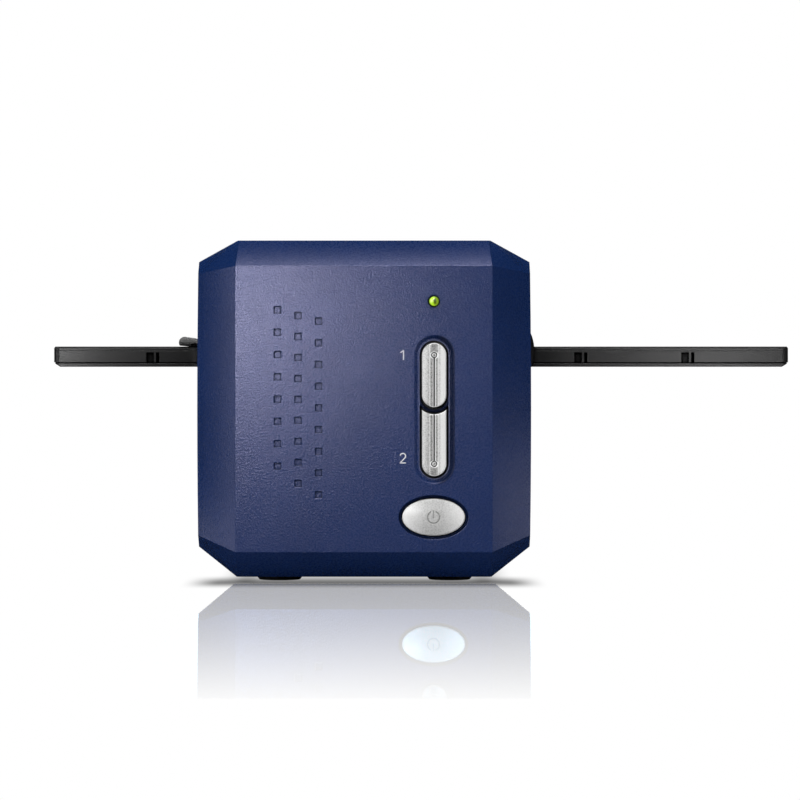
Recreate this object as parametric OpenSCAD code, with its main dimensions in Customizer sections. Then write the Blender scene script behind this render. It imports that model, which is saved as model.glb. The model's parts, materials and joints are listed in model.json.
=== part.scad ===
// Desktop scanner for strips of 35 mm film.
// X runs to the right as seen from the front, Y towards the back and Z up.
// The origin is under the middle of the whole scanner with its holder, level with the undersides of the feet.
// The strip holder lies across the scanner in its side slots, with one frame at the window.

/* [Housing] */
// Width of the housing between its flat sides
body_width = 116.5; // [112:0.5:124]
// Depth of the housing from the front face to the back face
body_depth = 272; // [264:1:290]
// Height of the housing without its feet
body_height = 117; // [115:1:124]
// Thickness of the moulded walls
wall = 2.5; // [2:0.1:2.8]
// Width of the long chamfer on each upper edge
upper_cut_w = 14.3; // [10:0.1:16]
// Height of the long chamfer on each upper edge
upper_cut_h = 7.5; // [6:0.5:10]
// Width of the long chamfer on each lower edge
lower_cut_w = 13.9; // [10:0.1:15]
// Height of the long chamfer on each lower edge
lower_cut_h = 10.4; // [8:0.5:12]
// How far each side swells between its two corners
flank_crown = 0.4; // [0.2:0.1:1]
// Width of the bevels left and right of the front face
side_bevel_w = 13.8; // [11:0.1:15]
// Depth of the bevels left and right of the front face
side_bevel_d = 13; // [10:0.5:14]
// Height of the bevels above and below the front face
end_bevel_h = 9; // [7:0.5:10]
// Depth of the bevels above and below the front face
end_bevel_d = 9.5; // [8:0.5:12]
// How far each corner facet runs past the long chamfer
facet_drop = 4; // [3:0.5:5]
// How far each corner facet runs onto the roof or the floor
facet_run = 0.6; // [0.4:0.1:1]
// Depth of the front and back caps of the housing
cap_depth = 19; // [19:0.5:22]
// Width of the shadow line between neighbouring housing parts
reveal = 0.4; // [0.2:0.1:0.6]
// How far the tongue of a cap reaches into the shells
tongue = 5; // [4:0.5:7]

/* [Feet] */
// Diameter of each rubber foot
foot_d = 16; // [12:0.5:18]
// Height of each foot below the housing
foot_height = 2; // [1.5:0.1:3]
// Depth of the seat that each foot is stuck into
foot_seat = 0.8; // [0.4:0.1:1.2]
// Distance of the feet from the middle, left and right
foot_x = 30; // [26:1:34]
// Distance of the feet from the front and back faces
foot_inset = 30; // [28:1:34]

/* [Dimples] */
// Width of each square dimple of the front pattern
dimple = 2.4; // [1.8:0.1:3]
// Depth of each dimple
dimple_depth = 0.5; // [0.3:0.1:0.8]
// Distance between the dimple columns
dimple_column_pitch = 7.1; // [6.5:0.1:8]
// Distance from the middle to the first dimple column
dimple_x = 29.8; // [28:0.1:32]
// Height of the top dimple of the first column
dimple_z = 94.7; // [92:0.1:96]
// Drop of each column below the one before it
dimple_step = 1.95; // [1.5:0.05:2.5]

/* [Scan buttons] */
// Distance of the scan buttons to the right of the middle
scan_button_x = 24.3; // [23:0.1:26]
// Width of a scan button
scan_button_w = 8.4; // [8:0.1:8.8]
// Height of the lower end of the pair
scan_button_low = 37.3; // [36:0.1:39]
// Height of the upper end of the pair
scan_button_high = 83.3; // [82:0.1:85]
// Height of the middle of the round lower end of the upper button
scan_button_turn = 65.3; // [64:0.1:67]
// Gap between a button and the edge of its hole
button_gap = 0.8; // [0.6:0.05:1]
// Thickness of the bar between the two scan buttons
divider = 1; // [0.8:0.05:1.2]
// Width of the sunk band round the pair of scan buttons
band_w = 1.8; // [1.4:0.1:2.2]
// Depth of the sunk band
band_depth = 0.9; // [0.6:0.1:1.2]
// Travel of every button
button_travel = 0.9; // [0.6:0.1:1]
// How far a button stands out of the front face
button_proud = 0.7; // [0.4:0.1:1.2]
// Width of the groove down each scan button
button_groove = 1.1; // [0.8:0.1:1.4]
// Diameter of the ring at the end of that groove
button_ring_d = 3.2; // [2.8:0.1:3.6]
// Distance of that ring from the end of the button
button_ring_in = 4.2; // [3.8:0.1:5]
// Depth of the groove and the ring
button_groove_depth = 0.45; // [0.3:0.05:0.6]

/* [Power button and light] */
// Distance of the power button to the right of the middle
power_x = 24.1; // [23:0.1:26]
// Height of the middle of the power button
power_z = 23.1; // [22:0.1:24]
// Width of the power button
power_w = 21.7; // [20:0.1:23]
// Height of the power button
power_h = 12.8; // [11:0.1:13.5]
// Width of the sunk rim round the power button
power_rim = 1.2; // [0.8:0.1:1.4]
// Depth of that rim
power_rim_depth = 1.2; // [0.8:0.1:1.4]
// Height of the crown of the power button
power_crown = 2.2; // [1.5:0.1:2.6]
// Distance of the power light to the right of the middle
light_x = 24.2; // [23:0.1:26]
// Height of the power light
light_z = 97.7; // [96:0.1:99]
// Diameter of the window of the power light
light_d = 3.5; // [3:0.1:4]
// Gap round the window of the power light
light_gap = 0.35; // [0.2:0.05:0.5]

/* [Strip holder] */
// Length of the strip holder
holder_length = 261; // [256:1:264]
// Width of the strip holder
holder_width = 62; // [60:1:64]
// Thickness of the closed strip holder
holder_thick = 7.2; // [6.8:0.1:7.6]
// Thickness of the holder's lid
lid_thick = 1.5; // [1.3:0.1:1.8]
// Thickness of the lip along the bottom of the holder
lip_thick = 1.2; // [1:0.1:1.4]
// Depth of the shadow groove above that lip
lip_groove = 0.4; // [0.2:0.1:0.6]
// How far the two ends of that lip slope in
lip_slope = 2; // [1.5:0.1:2.5]
// Width of the chamfer round the top of the lid
lid_chamfer = 0.6; // [0.4:0.1:0.8]
// Radius of the holder's corners, seen from above
holder_corner = 2.2; // [2:0.1:4]
// Distance from the front face to the holder's front edge
holder_setback = 35.5; // [34:0.5:37]
// Height of the holder's underside above the table
holder_z = 75.05; // [74.5:0.05:76.5]
// Number of film frames in the holder
frame_count = 6; // [6]
// Distance from one film frame to the next
frame_pitch = 38; // [37.5:0.1:38.5]
// Length of each picture window
frame_w = 36.2; // [35:0.1:36.4]
// Width of each picture window
frame_h = 24.2; // [23.5:0.1:25]
// Width of the channel that the film lies in
film_w = 35.3; // [35.1:0.1:35.6]
// Depth of that channel
film_channel = 0.4; // [0.3:0.1:0.6]
// Number of the frame that lies at the scanning window
loaded_frame = 3; // [3]
// Distance of the scanning window to the right of the middle
scan_x = 1; // [0:0.5:2]
// Reach of a click-stop notch to the left of its frame's middle
notch_left = 2.6; // [2.4:0.1:2.8]
// Reach of a click-stop notch to the right of its frame's middle
notch_right = 2; // [1.8:0.1:2.4]
// Depth of a click-stop notch
notch_depth = 1.5; // [1.2:0.1:1.8]
// Height of the edge left above a click-stop notch
notch_edge = 0.6; // [0.4:0.1:0.8]
// Thickness of the rib that divides each notch
notch_rib = 0.8; // [0.6:0.1:1]
// Distance of that rib to the right of the frame's middle
notch_rib_x = 0.5; // [0.4:0.1:0.6]
// Clearance on each side of the holder in its channel
holder_side_clear = 0.5; // [0.3:0.1:0.8]
// Running clearance under the holder
holder_low_clear = 0.1; // [0.05:0.05:0.2]
// Clearance above the holder
holder_top_clear = 1.4; // [1.2:0.1:1.6]

/* [Side slots] */
// How far the rounded entry bezel stands out of the right side
entry_proud = 1.9; // [1.5:0.1:2.4]
// How far the exit bezel stands out of the left side
exit_proud = 0.75; // [0.5:0.05:1]
// Height of the entry and exit bezels below the holder
bezel_below = 1.1; // [1:0.1:1.4]
// Height of the bezels above the holder
bezel_above = 5.7; // [5.4:0.1:6.2]
// Width of a bezel beyond each end of its slot
bezel_cheek = 3.5; // [3:0.1:4.5]
// Reach of a dust flap from its hinge pin
flap_reach = 6.7; // [6.2:0.1:7.2]
// Thickness of a dust flap
flap_thick = 1.7; // [1.4:0.1:1.9]
// Radius of the bead along the free edge of a dust flap
flap_bead = 2.05; // [1.8:0.05:2.2]
// Gap between a raised dust flap and the holder
flap_rest = 0.3; // [0.25:0.05:0.4]
// Diameter of the flap hinge pins
flap_pin_d = 1.2; // [1:0.05:1.3]
// Running clearance round a pin or rod
run_clear = 0.08; // [0.05:0.01:0.1]

/* [Film stage] */
// Thickness of the chassis floor
chassis_floor = 2.5; // [2:0.1:3]
// Height of the chassis floor above the housing floor
chassis_lift = 4.5; // [4:0.1:6]
// Thickness of the film gate
gate_thick = 2; // [1.8:0.1:2.5]
// Height of the rails that the holder slides on
gate_rail = 1; // [0.8:0.1:1.2]
// Thickness of the upright guides beside the holder
gate_guide = 2.2; // [2:0.1:2.6]
// Length of the window in the film gate
window_w = 39; // [38:0.5:41]
// Width of the window in the film gate
window_h = 27; // [26:0.5:29]
// Height of the lamp box above the upper guide
lamp_box_h = 17; // [15:0.5:19]
// Diameter of the lamp tube
lamp_d = 4; // [3:0.1:5]
// Length of the lamp tube
lamp_len = 68; // [62:1:72]

/* [Scanning unit] */
// Travel of the scanning carriage
scan_travel = 28; // [26:1:30]
// Length of the scanning carriage
carriage_len = 150; // [146:1:154]
// Width of the scanning carriage
carriage_w = 52; // [50:1:54]
// Height of the scanning carriage
carriage_h = 34; // [32:1:36]
// Diameter of the guide rod
rod_d = 5; // [4:0.5:6]
// Diameter of the lead screw
screw_d = 4; // [3.5:0.1:4.5]
// Diameter of the stepper motor
motor_d = 20; // [18:0.5:21]
// Length of the stepper motor
motor_len = 15; // [13:0.5:18]
// Diameter of the lens barrel
lens_d = 18; // [16:0.5:20]
// Length of the lens barrel
lens_len = 24; // [20:0.5:28]

/* [Boards and sockets] */
// Thickness of the circuit boards
board_thick = 1.6; // [1:0.1:1.8]
// Width of the square USB socket
usb_w = 12; // [11.5:0.1:12.5]
// Height of the square USB socket
usb_h = 11; // [10.5:0.1:11.5]
// Depth of the sockets
socket_depth = 16; // [14:0.5:18]
// Width of the power inlet
jack_w = 9; // [8.5:0.1:10]
// Diameter of the bore of the power inlet
jack_bore = 6.3; // [5.5:0.1:6.5]
// Diameter of the pin of the power inlet
jack_pin = 2; // [1.6:0.1:2.5]
// Clearance round whatever passes through a hole in the housing
pass_clear = 0.4; // [0.3:0.05:0.6]

/* [Hidden] */
$fn = 72;

blue = "midnightblue";
black = [0.09, 0.09, 0.1];
silver = "silver";
steel = "lightsteelblue";
board_green = "darkgreen";

// Housing heights and half sizes
floor_z = foot_height;
roof_z = foot_height + body_height;
middle_z = (floor_z + roof_z) / 2;
half_w = body_width / 2;
half_d = body_depth / 2;
front_y = -half_d;
face_half = half_w - side_bevel_w;
face_top = roof_z - end_bevel_h;
face_bottom = floor_z + end_bevel_h;
side_bevel_angle = atan(side_bevel_d / side_bevel_w);
end_bevel_angle = atan(end_bevel_d / end_bevel_h);
upper_cut_angle = atan(upper_cut_h / upper_cut_w);
lower_cut_angle = atan(lower_cut_h / lower_cut_w);
flank_reach = (body_height - upper_cut_h - lower_cut_h) / 2;
flank_r = (flank_reach * flank_reach + flank_crown * flank_crown) / (2 * flank_crown);
shell_y = half_d - cap_depth;
inner_front = front_y + wall;
inner_back = half_d - wall;
skin = 1;
lap = 0.3;
far = 2 * body_depth;
tongue_wall = 1.8;

// Holder and its channel
holder_x = scan_x + ((frame_count + 1) / 2 - loaded_frame) * frame_pitch;
holder_x0 = holder_x - holder_length / 2;
holder_x1 = holder_x + holder_length / 2;
holder_y0 = front_y + holder_setback;
holder_y1 = holder_y0 + holder_width;
film_y = (holder_y0 + holder_y1) / 2;
holder_top = holder_z + holder_thick;
base_top = holder_top - lid_thick;
groove_z = holder_z + lip_thick;
channel_y0 = holder_y0 - holder_side_clear;
channel_y1 = holder_y1 + holder_side_clear;
guide_z = holder_top + holder_top_clear;
rail_z = holder_z - holder_low_clear;
gate_top = rail_z - gate_rail;
gate_z = gate_top - gate_thick;
parting_z = holder_z + holder_thick / 2;
slot_z0 = holder_z - 3 * holder_low_clear;
slot_z1 = holder_top + bezel_above - wall + reveal;
bezel_z0 = holder_z - bezel_below;
bezel_z1 = holder_top + bezel_above;
bezel_y0 = channel_y0 - bezel_cheek;
bezel_y1 = channel_y1 + bezel_cheek;
bezel_in = half_w - wall - skin;
bezel_over = 1.5;

// Dust flaps
flap_pin_z = holder_top + flap_rest + flap_bead * 0.75;
exit_pin_x = -half_w + skin;
entry_pin_x = half_w - skin;
flap_y0 = channel_y0 + 2 * run_clear;
flap_y1 = channel_y1 - 2 * run_clear;

// Button stack behind the front face
scan_r = scan_button_w / 2;
hole_r = scan_r + button_gap;
saddle_r = hole_r + divider + button_gap * 0.75;
flange_y = inner_front + 0.3;
flange_thick = 1.2;
flange_grow = button_gap + 1;
stem_d = 4;
post_d = 5;
shoulder_y = inner_front + 3;
carrier_thick = 1.5;
board_y = shoulder_y + 6.5;
switch_w = 6;
switch_h = 3.5;
plunger_d = 3.4;
plunger_in = board_y - button_travel - 0.7;
plunger_out = board_y - switch_h - button_travel - 0.2;
band_x = scan_r + button_gap + band_w;
button_board_w = 30;
button_board_low = power_z - power_h;
button_board_high = light_z + 5;
button_post_x = [scan_button_x - button_board_w / 2 + 2.6, scan_button_x + button_board_w / 2 - 2.6];
button_post_z = [button_board_low + 2.6, button_board_high - 2.6];
button_board_z = (button_board_low + button_board_high) / 2;
button_board_h = button_board_high - button_board_low;
upper_press_z = (scan_button_turn + scan_button_high) / 2;
lower_press_z = (scan_button_low + scan_button_turn - saddle_r) / 2;
press_points = [[scan_button_x, upper_press_z], [scan_button_x, lower_press_z], [power_x, power_z]];

// Inner frame
chassis_z = floor_z + wall + chassis_lift;
chassis_top = chassis_z + chassis_floor;
chassis_half_w = half_w - lower_cut_w + 1.5;
column = 5;
column_x = chassis_half_w - column / 2;
column_in = gate_guide + 2.7;
column_y = [channel_y0 - column_in, channel_y1 + column_in];
gate_flange = 5.5;
gate_half = bezel_in - 0.5;
chassis_y0 = column_y[0] - column / 2;
chassis_y1 = shell_y - 14;
fixing_x = 20;
lamp_half = min(gate_half - 9, lamp_len / 2 + 8);
lamp_box_y = 15;
lamp_z = guide_z + 2 + lamp_box_h / 2;

// Scanning unit, drawn at the front end of its travel
slit_y = film_y - scan_travel / 2;
carriage_y0 = slit_y - 14;
carriage_y1 = carriage_y0 + carriage_len;
lead_z = chassis_top + motor_d / 2 + 0.5;
carriage_z = lead_z + motor_d / 2 + 1;
carriage_top = carriage_z + carriage_h;
carriage_x0 = scan_x - carriage_w / 2;
carriage_x1 = scan_x + carriage_w / 2;
axis_z = carriage_z + carriage_h / 2;
carriage_wall = 2;
mirror_thick = 2;
mirror_sum = slit_y + axis_z;
mirror_seat_sum = mirror_sum - mirror_thick * sqrt(2);
rod_x = carriage_x0 - 9;
rod_z = carriage_z + 6;
bush_d = rod_d + 4;
bush_len = 10;
boss_d = bush_d + 3;
bush_y = [carriage_y0 + 12, carriage_y1 - 34];
rod_y0 = carriage_y0 - 4;
rod_y1 = bush_y[1] + bush_len + scan_travel + 6;
rail_x = carriage_x1 + 5;
lead_x = carriage_x0 + 6;
nut_y = carriage_y0 + 107.5;
nut_len = 8;
lead_y0 = nut_y - 8;
lead_y1 = nut_y + nut_len + scan_travel + 6;
bracket = 2.5;
motor_y = lead_y1 + bracket;
fixing_y = [chassis_y0 + 6, max(chassis_y1 - 6, motor_y + motor_len + 3)];
motor_ear = motor_d / 2 + 3.5;
bracket_half = motor_ear + 2.7;
lens_y = carriage_y0 + 78;
sensor_y = carriage_y1 - 16;
screw_r = 1.5;
screw_clear = 0.03;
tap_d = 2 * (screw_r + screw_clear);
through_d = 2 * (screw_r + 2 * screw_clear);

// Boards
main_z = chassis_top + 4;
housing_post_d = 7;
head_drop = 8;
post_x = face_half - 4;
post_y = shell_y - 4.5;
post_spots = [for (x = [-post_x, post_x], y = [-post_y, post_y]) [x, y]];
foot_spots = [for (x = [-foot_x, foot_x], y = [foot_inset - half_d, half_d - foot_inset]) [x, y]];
fixing_spots = [for (x = [-fixing_x, fixing_x], y = fixing_y) [x, y]];
main_x0 = lead_x + bracket_half + 0.8;
main_x1 = post_x - housing_post_d / 2 - 0.6;
main_y0 = max(shell_y - 66, carriage_y1 - 6);
main_y1 = inner_back - 2;
socket_y = half_d - 0.8;
usb_x = main_x0 + 12;
jack_x = main_x0 + 29;
socket_z = main_z + board_thick;

// ---------- helpers ----------

// Extrudes a profile drawn in Y and Z along X
module along_x(x0, x1) {
    translate([x0, 0, 0])
        rotate([90, 0, 90])
            linear_extrude(height = x1 - x0) children();
}

// Extrudes a profile drawn in X and Z along Y
module along_y(y0, y1) {
    translate([0, y1, 0])
        rotate([90, 0, 0])
            linear_extrude(height = y1 - y0) children();
}

// Extrudes a profile drawn in X and Y along Z
module along_z(z0, z1) {
    translate([0, 0, z0])
        linear_extrude(height = z1 - z0) children();
}

// Block between two opposite corners
module block(low, high) {
    translate(low) cube(high - low);
}

// Round bar along X, Y or Z, starting at a point
module bar_x(start, length, d) {
    translate(start) rotate([0, 90, 0]) cylinder(d = d, h = length);
}

module bar_y(start, length, d) {
    translate(start) rotate([-90, 0, 0]) cylinder(d = d, h = length);
}

module bar_z(start, length, d) {
    translate(start) cylinder(d = d, h = length);
}

// Rectangle with round corners, centred
module round_rect(w, h, r) {
    square([w, h - 2 * r], center = true);
    square([w - 2 * r, h], center = true);
    for (x = [-1, 1], y = [-1, 1])
        translate([x * (w / 2 - r), y * (h / 2 - r)]) circle(r = r);
}

// Upright bar with half-round ends, from one height to another
module stadium(x, r, z0, z1) {
    translate([x - r, z0 + r]) square([2 * r, z1 - z0 - 2 * r]);
    translate([x, z0 + r]) circle(r = r);
    translate([x, z1 - r]) circle(r = r);
}

// Points of an ellipse that is w wide and h high
function ellipse(w, h, n = 72) =
    [for (i = [0:n - 1]) [w / 2 * cos(i * 360 / n), h / 2 * sin(i * 360 / n)]];

function unit(v) = v / norm(v);

// Block whose flat bottom lies on a plane, on the side that its normal points to
module beyond(point, normal) {
    n = unit(normal);
    translate(point)
        rotate([0, acos(n[2]), atan2(n[1], n[0])])
            translate([-body_width, -body_width, 0])
                cube([2 * body_width, 2 * body_width, body_width]);
}

// ---------- housing form ----------

// Eight-sided cross-section with gently crowned sides, moved in by a distance
module section(inset) {
    w = half_w - inset;
    top_half = half_w - upper_cut_w - inset * tan(upper_cut_angle / 2);
    low_half = half_w - lower_cut_w - inset * tan(lower_cut_angle / 2);
    side_top = roof_z - upper_cut_h - inset * tan((90 - upper_cut_angle) / 2);
    side_low = floor_z + lower_cut_h + inset * tan((90 - lower_cut_angle) / 2);
    intersection() {
        polygon([
            [-top_half, roof_z - inset], [top_half, roof_z - inset],
            [w, side_top], [w, side_low],
            [low_half, floor_z + inset], [-low_half, floor_z + inset],
            [-w, side_low], [-w, side_top]
        ]);
        crown_circle(1, inset);
        crown_circle(-1, inset);
    }
}

// Large circle that gives one side its crown
module crown_circle(side, inset) {
    translate([side * (half_w - flank_r), middle_z])
        circle(r = flank_r - inset, $fn = 512);
}

// Outline seen from above, with the bevels beside the front and back faces
module plan_outline(inset) {
    w = half_w - inset;
    d = half_d - inset;
    face = face_half - inset * tan(side_bevel_angle / 2);
    turn = half_d - side_bevel_d - inset * tan((90 - side_bevel_angle) / 2);
    polygon([
        [-face, -d], [face, -d], [w, -turn], [w, turn],
        [face, d], [-face, d], [-w, turn], [-w, -turn]
    ]);
}

// Outline seen from the side, with the bevels above and below those faces
module side_outline(inset) {
    d = half_d - inset;
    face = inset * tan(end_bevel_angle / 2);
    turn = half_d - end_bevel_d - inset * tan((90 - end_bevel_angle) / 2);
    polygon([
        [-d, face_bottom + face], [-turn, floor_z + inset],
        [turn, floor_z + inset], [d, face_bottom + face],
        [d, face_top - face], [turn, roof_z - inset],
        [-turn, roof_z - inset], [-d, face_top - face]
    ]);
}

// Oblique facet at one corner of the front or back face: side and level are 1 or -1, end is -1 for the front
module corner_facet(side, end, level, inset) {
    edge_z = level > 0 ? face_top : face_bottom;
    flat_z = level > 0 ? roof_z : floor_z;
    cut_h = level > 0 ? upper_cut_h : lower_cut_h;
    cut_w = level > 0 ? upper_cut_w : lower_cut_w;
    face_corner = [face_half, half_d, edge_z];
    flat_corner = [half_w - cut_w - facet_run, half_d - end_bevel_d, flat_z];
    side_corner = [half_w, half_d - side_bevel_d, flat_z - level * (cut_h + facet_drop)];
    raw = cross(flat_corner - face_corner, side_corner - face_corner);
    out = raw[0] > 0 ? unit(raw) : -unit(raw);
    p = face_corner - out * inset;
    beyond([side * p[0], end * p[1], p[2]], [side * out[0], end * out[1], out[2]]);
}

// Whole outer form of the housing, moved in by a distance
module envelope(inset) {
    difference() {
        intersection() {
            along_y(-half_d, half_d) section(inset);
            along_z(0, roof_z + 1) plan_outline(inset);
            along_x(-half_w, half_w) side_outline(inset);
        }
        for (side = [-1, 1], end = [-1, 1], level = [-1, 1])
            corner_facet(side, end, level, inset);
    }
}

// Walls of a front or back cap, with the tongue that centres it in the shells
module cap_shell(end) {
    outer_y = [end * shell_y, end * (half_d + 1)];
    tongue_y = [end * (shell_y - tongue), end * (shell_y + wall)];
    difference() {
        union() {
            intersection() {
                envelope(0);
                block([-far, min(outer_y), 0], [far, max(outer_y), far]);
            }
            intersection() {
                along_y(-shell_y - tongue, shell_y + tongue) section(wall + pass_clear / 4);
                block([-far, min(tongue_y), 0], [far, max(tongue_y), far]);
            }
        }
        envelope(wall + tongue_wall);
        // Notches in the tongue round the long screw posts
        for (x = [-post_x, post_x])
            bar_z([x, end * post_y, 0], roof_z, housing_post_d + 2 * pass_clear);
        intersection() {
            envelope(wall);
            block([-far, end > 0 ? shell_y + wall : -half_d, 0],
                [far, end > 0 ? half_d : -shell_y - wall, far]);
        }
    }
}

// Tube with both shells' cross-section, between the two caps
module sleeve() {
    difference() {
        along_y(-shell_y + reveal, shell_y - reveal) section(0);
        along_y(-half_d, half_d) section(wall);
    }
}

// Openings for the two side bezels
module bezel_seats() {
    block([-far, bezel_y0, bezel_z0], [far, bezel_y1, bezel_z1]);
}

// ---------- housing parts ----------

module front_panel() {
    color(blue)
    difference() {
        union() {
            cap_shell(-1);
            // Posts for the button carrier and its board
            for (x = button_post_x, z = button_post_z) {
                bar_y([x, inner_front - skin, z], shoulder_y - inner_front + skin, post_d + 2);
                bar_y([x, inner_front - skin, z], board_y - inner_front + skin, post_d);
            }
        }
        // Sunk band with sloping sides round the scan buttons
        translate([scan_button_x, front_y, 0]) band_recess();
        along_y(front_y - skin, inner_front + skin) upper_outline(button_gap);
        along_y(front_y - skin, inner_front + skin) lower_outline(button_gap);
        power_rim_cut();
        bar_y([light_x, front_y - skin, light_z], wall + 2 * skin, light_d + 2 * light_gap);
        dimples();
        for (x = button_post_x, z = button_post_z)
            bar_y([x, board_y - 6, z], 7, 2 * (1 + screw_clear));
    }
}

// Sunk band: a straight stretch and two half-round ends, all with the same sloping side
module band_recess() {
    low = scan_button_low + scan_r;
    high = scan_button_high - scan_r;
    inner = band_x - band_depth;
    translate([0, 0, low]) linear_extrude(height = high - low)
        polygon([
            [-band_x, -skin], [band_x, -skin], [band_x, 0],
            [inner, band_depth], [-inner, band_depth], [-band_x, 0]
        ]);
    for (z = [low, high]) translate([0, 0, z]) rotate([-90, 0, 0]) {
        cylinder(r1 = band_x, r2 = inner, h = band_depth);
        translate([0, 0, -skin]) cylinder(r = band_x, h = skin);
    }
}

// Hole and stepped rim of the power button
module power_rim_cut() {
    translate([power_x, 0, power_z]) {
        along_y(front_y - skin, front_y + power_rim_depth)
            polygon(ellipse(power_w + 2 * power_rim, power_h + 2 * power_rim));
        along_y(front_y - skin, inner_front + skin)
            polygon(ellipse(power_w + button_gap, power_h + button_gap));
    }
}

// Three staggered columns of shallow square dimples
module dimples() {
    counts = [8, 9, 9];
    pitches = [7.71, 7.25, 7.49];
    for (c = [0:2], row = [0:counts[c] - 1]) {
        x = -dimple_x + c * dimple_column_pitch;
        z = dimple_z - c * dimple_step - row * pitches[c];
        block([x - dimple / 2, front_y - skin, z - dimple / 2],
            [x + dimple / 2, front_y + dimple_depth, z + dimple / 2]);
    }
}

module rear_panel() {
    color(blue)
    difference() {
        cap_shell(1);
        block([usb_x - usb_w / 2 - pass_clear, inner_back - skin, socket_z - pass_clear],
            [usb_x + usb_w / 2 + pass_clear, half_d + skin, socket_z + usb_h + pass_clear]);
        block([jack_x - jack_w / 2 - pass_clear, inner_back - skin, socket_z - pass_clear],
            [jack_x + jack_w / 2 + pass_clear, half_d + skin, socket_z + usb_h + pass_clear]);
        vent_slots();
    }
}

// Row of upright ventilation slots in the back face
module vent_slots() {
    slot_w = 2;
    slot_pitch = 5;
    for (i = [-5:5])
        along_y(inner_back - skin, half_d + skin)
            stadium(i * slot_pitch, slot_w / 2, face_top - 32, face_top - 12);
}

module upper_housing() {
    color(blue)
    difference() {
        union() {
            intersection() {
                sleeve();
                block([-far, -far, parting_z + reveal / 2], [far, far, far]);
            }
            // Long screw posts, standing on the roof inside
            for (p = post_spots)
                bar_z([p[0], p[1], parting_z], roof_z - parting_z - wall / 2, housing_post_d);
            // Lip that keeps the parting line in line
            parting_lip();
        }
        for (p = post_spots)
            bar_z([p[0], p[1], parting_z - skin], 12, tap_d);
        bezel_seats();
    }
}

// Inner lip below the parting line, broken at the slots and clear of the caps' tongues
module parting_lip() {
    lip_h = 3;
    lip_wall = 1.2;
    difference() {
        along_y(-shell_y + tongue + 1, shell_y - tongue - 1) difference() {
            union() {
                intersection() {
                    section(wall + run_clear);
                    translate([-far, parting_z - lip_h]) square([2 * far, lip_h + reveal]);
                }
                intersection() {
                    section(wall - lap);
                    translate([-far, parting_z + reveal / 2]) square([2 * far, lip_h]);
                }
            }
            section(wall + lip_wall);
        }
        block([-far, bezel_y0 - 1, 0], [far, bezel_y1 + 1, far]);
    }
}

module lower_housing() {
    color(blue)
    difference() {
        union() {
            intersection() {
                sleeve();
                block([-far, -far, -far], [far, far, parting_z - reveal / 2]);
            }
            // Screw posts that meet those of the upper housing
            for (p = post_spots)
                bar_z([p[0], p[1], floor_z + wall / 2], parting_z - floor_z - wall / 2, housing_post_d);
            // Bosses under the chassis
            for (p = fixing_spots)
                bar_z([p[0], p[1], floor_z + wall / 2], chassis_z - floor_z - wall / 2, 8);
        }
        // Deep wells for the long screws
        for (p = post_spots) {
            bar_z([p[0], p[1], floor_z - skin], parting_z - head_drop - floor_z + skin, 5.5);
            bar_z([p[0], p[1], floor_z], parting_z, 2 * (screw_r + pass_clear));
        }
        for (p = fixing_spots)
            bar_z([p[0], p[1], floor_z + wall], chassis_lift + skin, tap_d);
        foot_seats();
        floor_vents();
        bezel_seats();
    }
}

// Round seats for the rubber feet
module foot_seats() {
    for (p = foot_spots)
        bar_z([p[0], p[1], floor_z - skin], foot_seat + skin, foot_d + 2 * screw_clear);
}

// Two rows of cooling slots in the floor
module floor_vents() {
    for (i = [-4:4], row = [-1, 1])
        translate([i * 6, row * 22])
            along_z(floor_z - skin, floor_z + wall + skin) round_rect(2.4, 26, 1.1);
}

module rubber_feet() {
    color(black)
    for (p = foot_spots) translate([p[0], p[1], 0]) {
        cylinder(d1 = foot_d - 1.6, d2 = foot_d, h = foot_height * 0.5);
        translate([0, 0, foot_height * 0.5]) cylinder(d = foot_d, h = foot_height * 0.5 + foot_seat);
    }
}

module housing_screws() {
    head = 2.4;
    color(steel)
    for (p = post_spots) translate([p[0], p[1], parting_z - head_drop]) difference() {
        union() {
            bar_z([0, 0, -head], head, 5);
            bar_z([0, 0, 0], 17, 2 * screw_r);
        }
        for (turn = [0, 90]) translate([0, 0, -head]) rotate([0, 0, turn])
            cube([3, 0.8, head], center = true);
    }
}

// ---------- slot bezels and dust flaps ----------

// Slot through a bezel, flared where the holder goes in
module bezel_slot(x0, x1) {
    block([x0, channel_y0, slot_z0], [x1, channel_y1, slot_z1]);
}

module entry_bezel() {
    rise = (bezel_z1 - bezel_z0) / 2;
    dome_r = (rise * rise + entry_proud * entry_proud) / (2 * entry_proud);
    seat = half_w - flank_crown;
    color(black)
    difference() {
        union() {
            block([bezel_in, bezel_y0 + run_clear, bezel_z0 + run_clear],
                [seat, bezel_y1 - run_clear, bezel_z1 - run_clear]);
            intersection() {
                bar_y([half_w + entry_proud - dome_r, bezel_y0 - bezel_over, (bezel_z0 + bezel_z1) / 2],
                    bezel_y1 - bezel_y0 + 2 * bezel_over, 2 * dome_r);
                block([half_w, bezel_y0 - bezel_over, bezel_z0], [far, bezel_y1 + bezel_over, bezel_z1]);
                bezel_ends();
            }
            block([seat - skin, bezel_y0 + run_clear, bezel_z0 + run_clear],
                [half_w + 0.01, bezel_y1 - run_clear, bezel_z1 - run_clear]);
        }
        bezel_slot(0, far);
        flap_pin_bores(entry_pin_x);
    }
}

// Long bow, seen from above, that runs the entry bezel's ends down to the side
module bezel_ends() {
    y0 = bezel_y0 - bezel_over;
    y1 = bezel_y1 + bezel_over;
    run = 3 * bezel_over;
    crest = half_w + entry_proud + 0.1;
    along_z(0, far) polygon([
        [0, y0], [half_w, y0], [crest, y0 + run], [crest, y1 - run], [half_w, y1], [0, y1]
    ]);
}

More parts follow.
